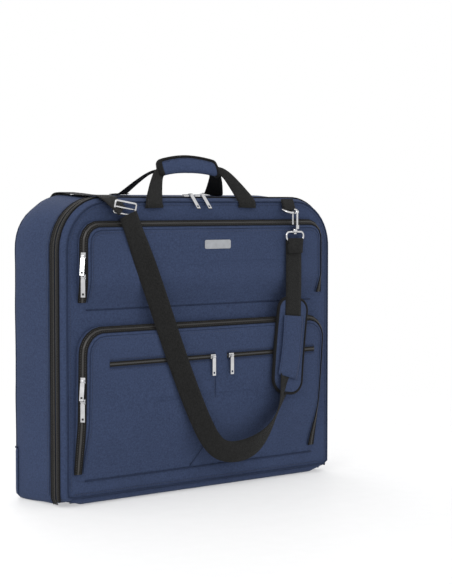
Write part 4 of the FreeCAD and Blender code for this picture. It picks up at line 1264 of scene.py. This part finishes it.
def spine():
    """The fold: a bound roll on the hinge line, under one strip of cloth that joins the halves."""
    low, high = node_box("fold_spine")
    line = [Vector((low.x + (high.x - low.x) * s / 60, -50.5 * MM, 4.4 * MM)) for s in range(61)]
    item = sweep("fold_spine_roll", frames_along(line, FORWARD), circle(2.4 * MM, 12), NAVY_SEAM_SHADE,
                 "back_half")
    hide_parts("fold_spine")

    marks = [(-41, 0.9), (-46, 0.7), (-51, 0.6), (-57, 0.7), (-63, 1.4), (-68.5, 3.6), (-72.0, 7.6),
             (-73.6, 13.0)]
    profile = smooth_line([at_mm(0, y, z) for y, z in marks], 28)
    outer, inner = [], []
    for step in range(49):
        x = -288 * MM + 576 * MM * step / 48
        ends = ease(abs(x), 288 * MM, 262 * MM)
        lift = Vector((x, 0, (1 - ends) * 6 * MM))
        outer.append([p + lift for p in profile])
        inner.append([p + lift + Vector((0, 0.9 * MM, 0.9 * MM)) for p in profile])
    strip = slab("fold_cloth", outer, inner, NAVY, None)
    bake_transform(strip)


def inside():
    """Boards, net pocket, zipped pocket, garment band, flaps and the hook's tab."""
    def facing_front(y):
        return lambda x, z, lift: Vector((x, y - lift, z))

    def facing_rear(y):
        return lambda x, z, lift: Vector((x, y + lift, z))

    def panel_of(node, name, radii, place, thick, puff, material, body):
        low, high = node_box(node)
        outline = Outline(low.x, high.x, low.z, high.z, *radii)
        item = cushion(name, outline, place(low, high), thick, puff, 1.2 * MM, material, body)
        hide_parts(node)
        return outline, low, high

    for node, body, turn in (("back_board", "back_half", facing_front),
                             ("front_board", "front_half", facing_rear)):
        outline, low, high = panel_of(
            node, f"{node}_lining", (14 * MM, 60 * MM),
            (lambda low, high, turn=turn: turn(high.y) if turn is facing_front else turn(low.y)),
            1.4 * MM, 0.5 * MM, LINING, body)
    outline, low, high = panel_of("inner_zip_pocket", "inner_zip_cloth", (6 * MM, 6 * MM),
                                  lambda low, high: facing_front(high.y), 2.4 * MM, 1.2 * MM, LINING,
                                  "back_half")
    line = [Vector((low.x + (high.x - low.x) * s / 40, low.y - 0.7 * MM, high.z - 22 * MM))
            for s in range(41)]
    stations = frames_along(line, FORWARD)
    sweep("inner_zip_tape", stations, band(14 * MM, 1.0 * MM), TAPE, "back_half")
    zipper_coil("inner_zip_coil", stations_raised(stations, 0.4 * MM), COIL, "back_half")

    low, high = node_box("mesh_pocket")
    verts, faces = [], []

    def strand(a, b, wide):
        ahead = (b - a).normalized()
        side = ahead.cross(FORWARD).normalized() * wide
        start = len(verts)
        for end in (a, b):
            verts.extend((end + side, end + FORWARD * wide, end - side, end - FORWARD * wide))
        for c in range(4):
            faces.append((start + c, start + (c + 1) % 4, start + 4 + (c + 1) % 4, start + 4 + c))
        faces.append((start, start + 1, start + 2, start + 3))
        faces.append((start + 7, start + 6, start + 5, start + 4))

    y = (low.y + high.y) / 2
    mesh_pitch = 6 * MM
    for index in range(int((high.x - low.x) / mesh_pitch) + 1):
        x = low.x + index * mesh_pitch
        strand(Vector((x, y, low.z)), Vector((x, y, high.z)), 0.5 * MM)
    for index in range(int((high.z - low.z) / mesh_pitch) + 1):
        z = low.z + index * mesh_pitch
        strand(Vector((low.x, y, z)), Vector((high.x, y, z)), 0.5 * MM)
    net = mesh_piece("mesh_pocket_net", verts, faces, BLACK_THREAD, "back_half", smooth=False)
    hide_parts("mesh_pocket")
    middle = Vector(((low.x + high.x) / 2, y - 0.4 * MM, 0))
    rim = [Vector((middle.x + x, middle.y, z)) for x, z in
           rounded_loop((high.x - low.x) / 2, low.z, high.z, 6 * MM)]
    tube("mesh_pocket_binding", rim, 1.6 * MM, BINDING, "back_half", closed=True)

    low, high = node_box("retaining_band")
    line = [Vector((low.x + (high.x - low.x) * s / 40, (low.y + high.y) / 2, (low.z + high.z) / 2))
            for s in range(41)]
    item = sweep("retaining_band_webbing", frames_along(line, FORWARD), band(25 * MM, 1.8 * MM), WEBBING,
                 "back_half")
    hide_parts("retaining_band")
    low, high = node_box("band_buckle")
    middle = (low + high) / 2
    loop = [middle + Vector((x, 0, z)) for x, z in
            rounded_loop((high.x - low.x) / 2 - 2 * MM, -(high.z - low.z) / 2 + 2 * MM,
                         (high.z - low.z) / 2 - 2 * MM, 4 * MM)]
    item = tube("band_buckle_frame", loop, 1.9 * MM, BLACK_PLASTIC, "back_half", closed=True,
                sides=10)
    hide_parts("band_buckle")
    tube("band_buckle_bar", [middle + Vector((0, 0, z * MM)) for z in (-16, -5, 5, 16)], 1.6 * MM,
         BLACK_PLASTIC, "back_half", sides=10)

    for side in ("left", "right"):
        panel_of(f"inner_flap_{side}", f"inner_flap_{side}_cloth", (6 * MM, 30 * MM),
                 lambda low, high: facing_rear(low.y), 0.9 * MM, 0.5 * MM, LINING, "front_half")
    low, high = node_box("inner_flap_left")
    line = [Vector((0, high.y + 0.9 * MM, low.z + (high.z - low.z - 20 * MM) * s / 60)) for s in range(61)]
    stations = frames_along(line, Vector((0, 1, 0)))
    sweep("flap_tape", stations, band(16 * MM, 0.9 * MM), TAPE, "front_half")
    zipper_coil("flap_coil", stations_raised(stations, 0.4 * MM), COIL, "front_half")

    low, high = node_box("hook_strap")
    line = [Vector(((low.x + high.x) / 2, (low.y + high.y) / 2, low.z + (high.z - low.z) * s / 8))
            for s in range(9)]
    item = sweep("hook_strap_webbing", frames_along(line, FORWARD), band(20 * MM, 1.8 * MM), WEBBING,
                 "front_half")
    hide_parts("hook_strap")


def metal_fittings():
    """The CAD's own metal keeps its shape, with softened edges and polished plating."""
    small = [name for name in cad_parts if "slider" in name or "pull" in name]
    round_ones = ["front_ring", "rear_ring", "front_hook", "rear_hook", "front_hook_gate", "rear_hook_gate",
                  "hanging_hook", "hook_chain"]
    for name in small + round_ones:
        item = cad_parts[name]
        item.data.materials.clear()
        item.data.materials.append(NICKEL)
        width = 0.35 if name in small else 1.1 if name.endswith("_hook") and name != "hanging_hook" else 0
        if width:
            modifier(item, "BEVEL", width=width * MM, segments=3, limit_method="ANGLE",
                     angle_limit=math.radians(50))


camera_and_light()
floor()
strap_points = shoulder_strap()
trays()
tray_edges()
pockets()
small_zips()
pocket_panel_seams()
handles()
grip()
pad_and_sleeve(strap_points)
strap_fittings()
kick_guard()
spine()
inside()
metal_fittings()
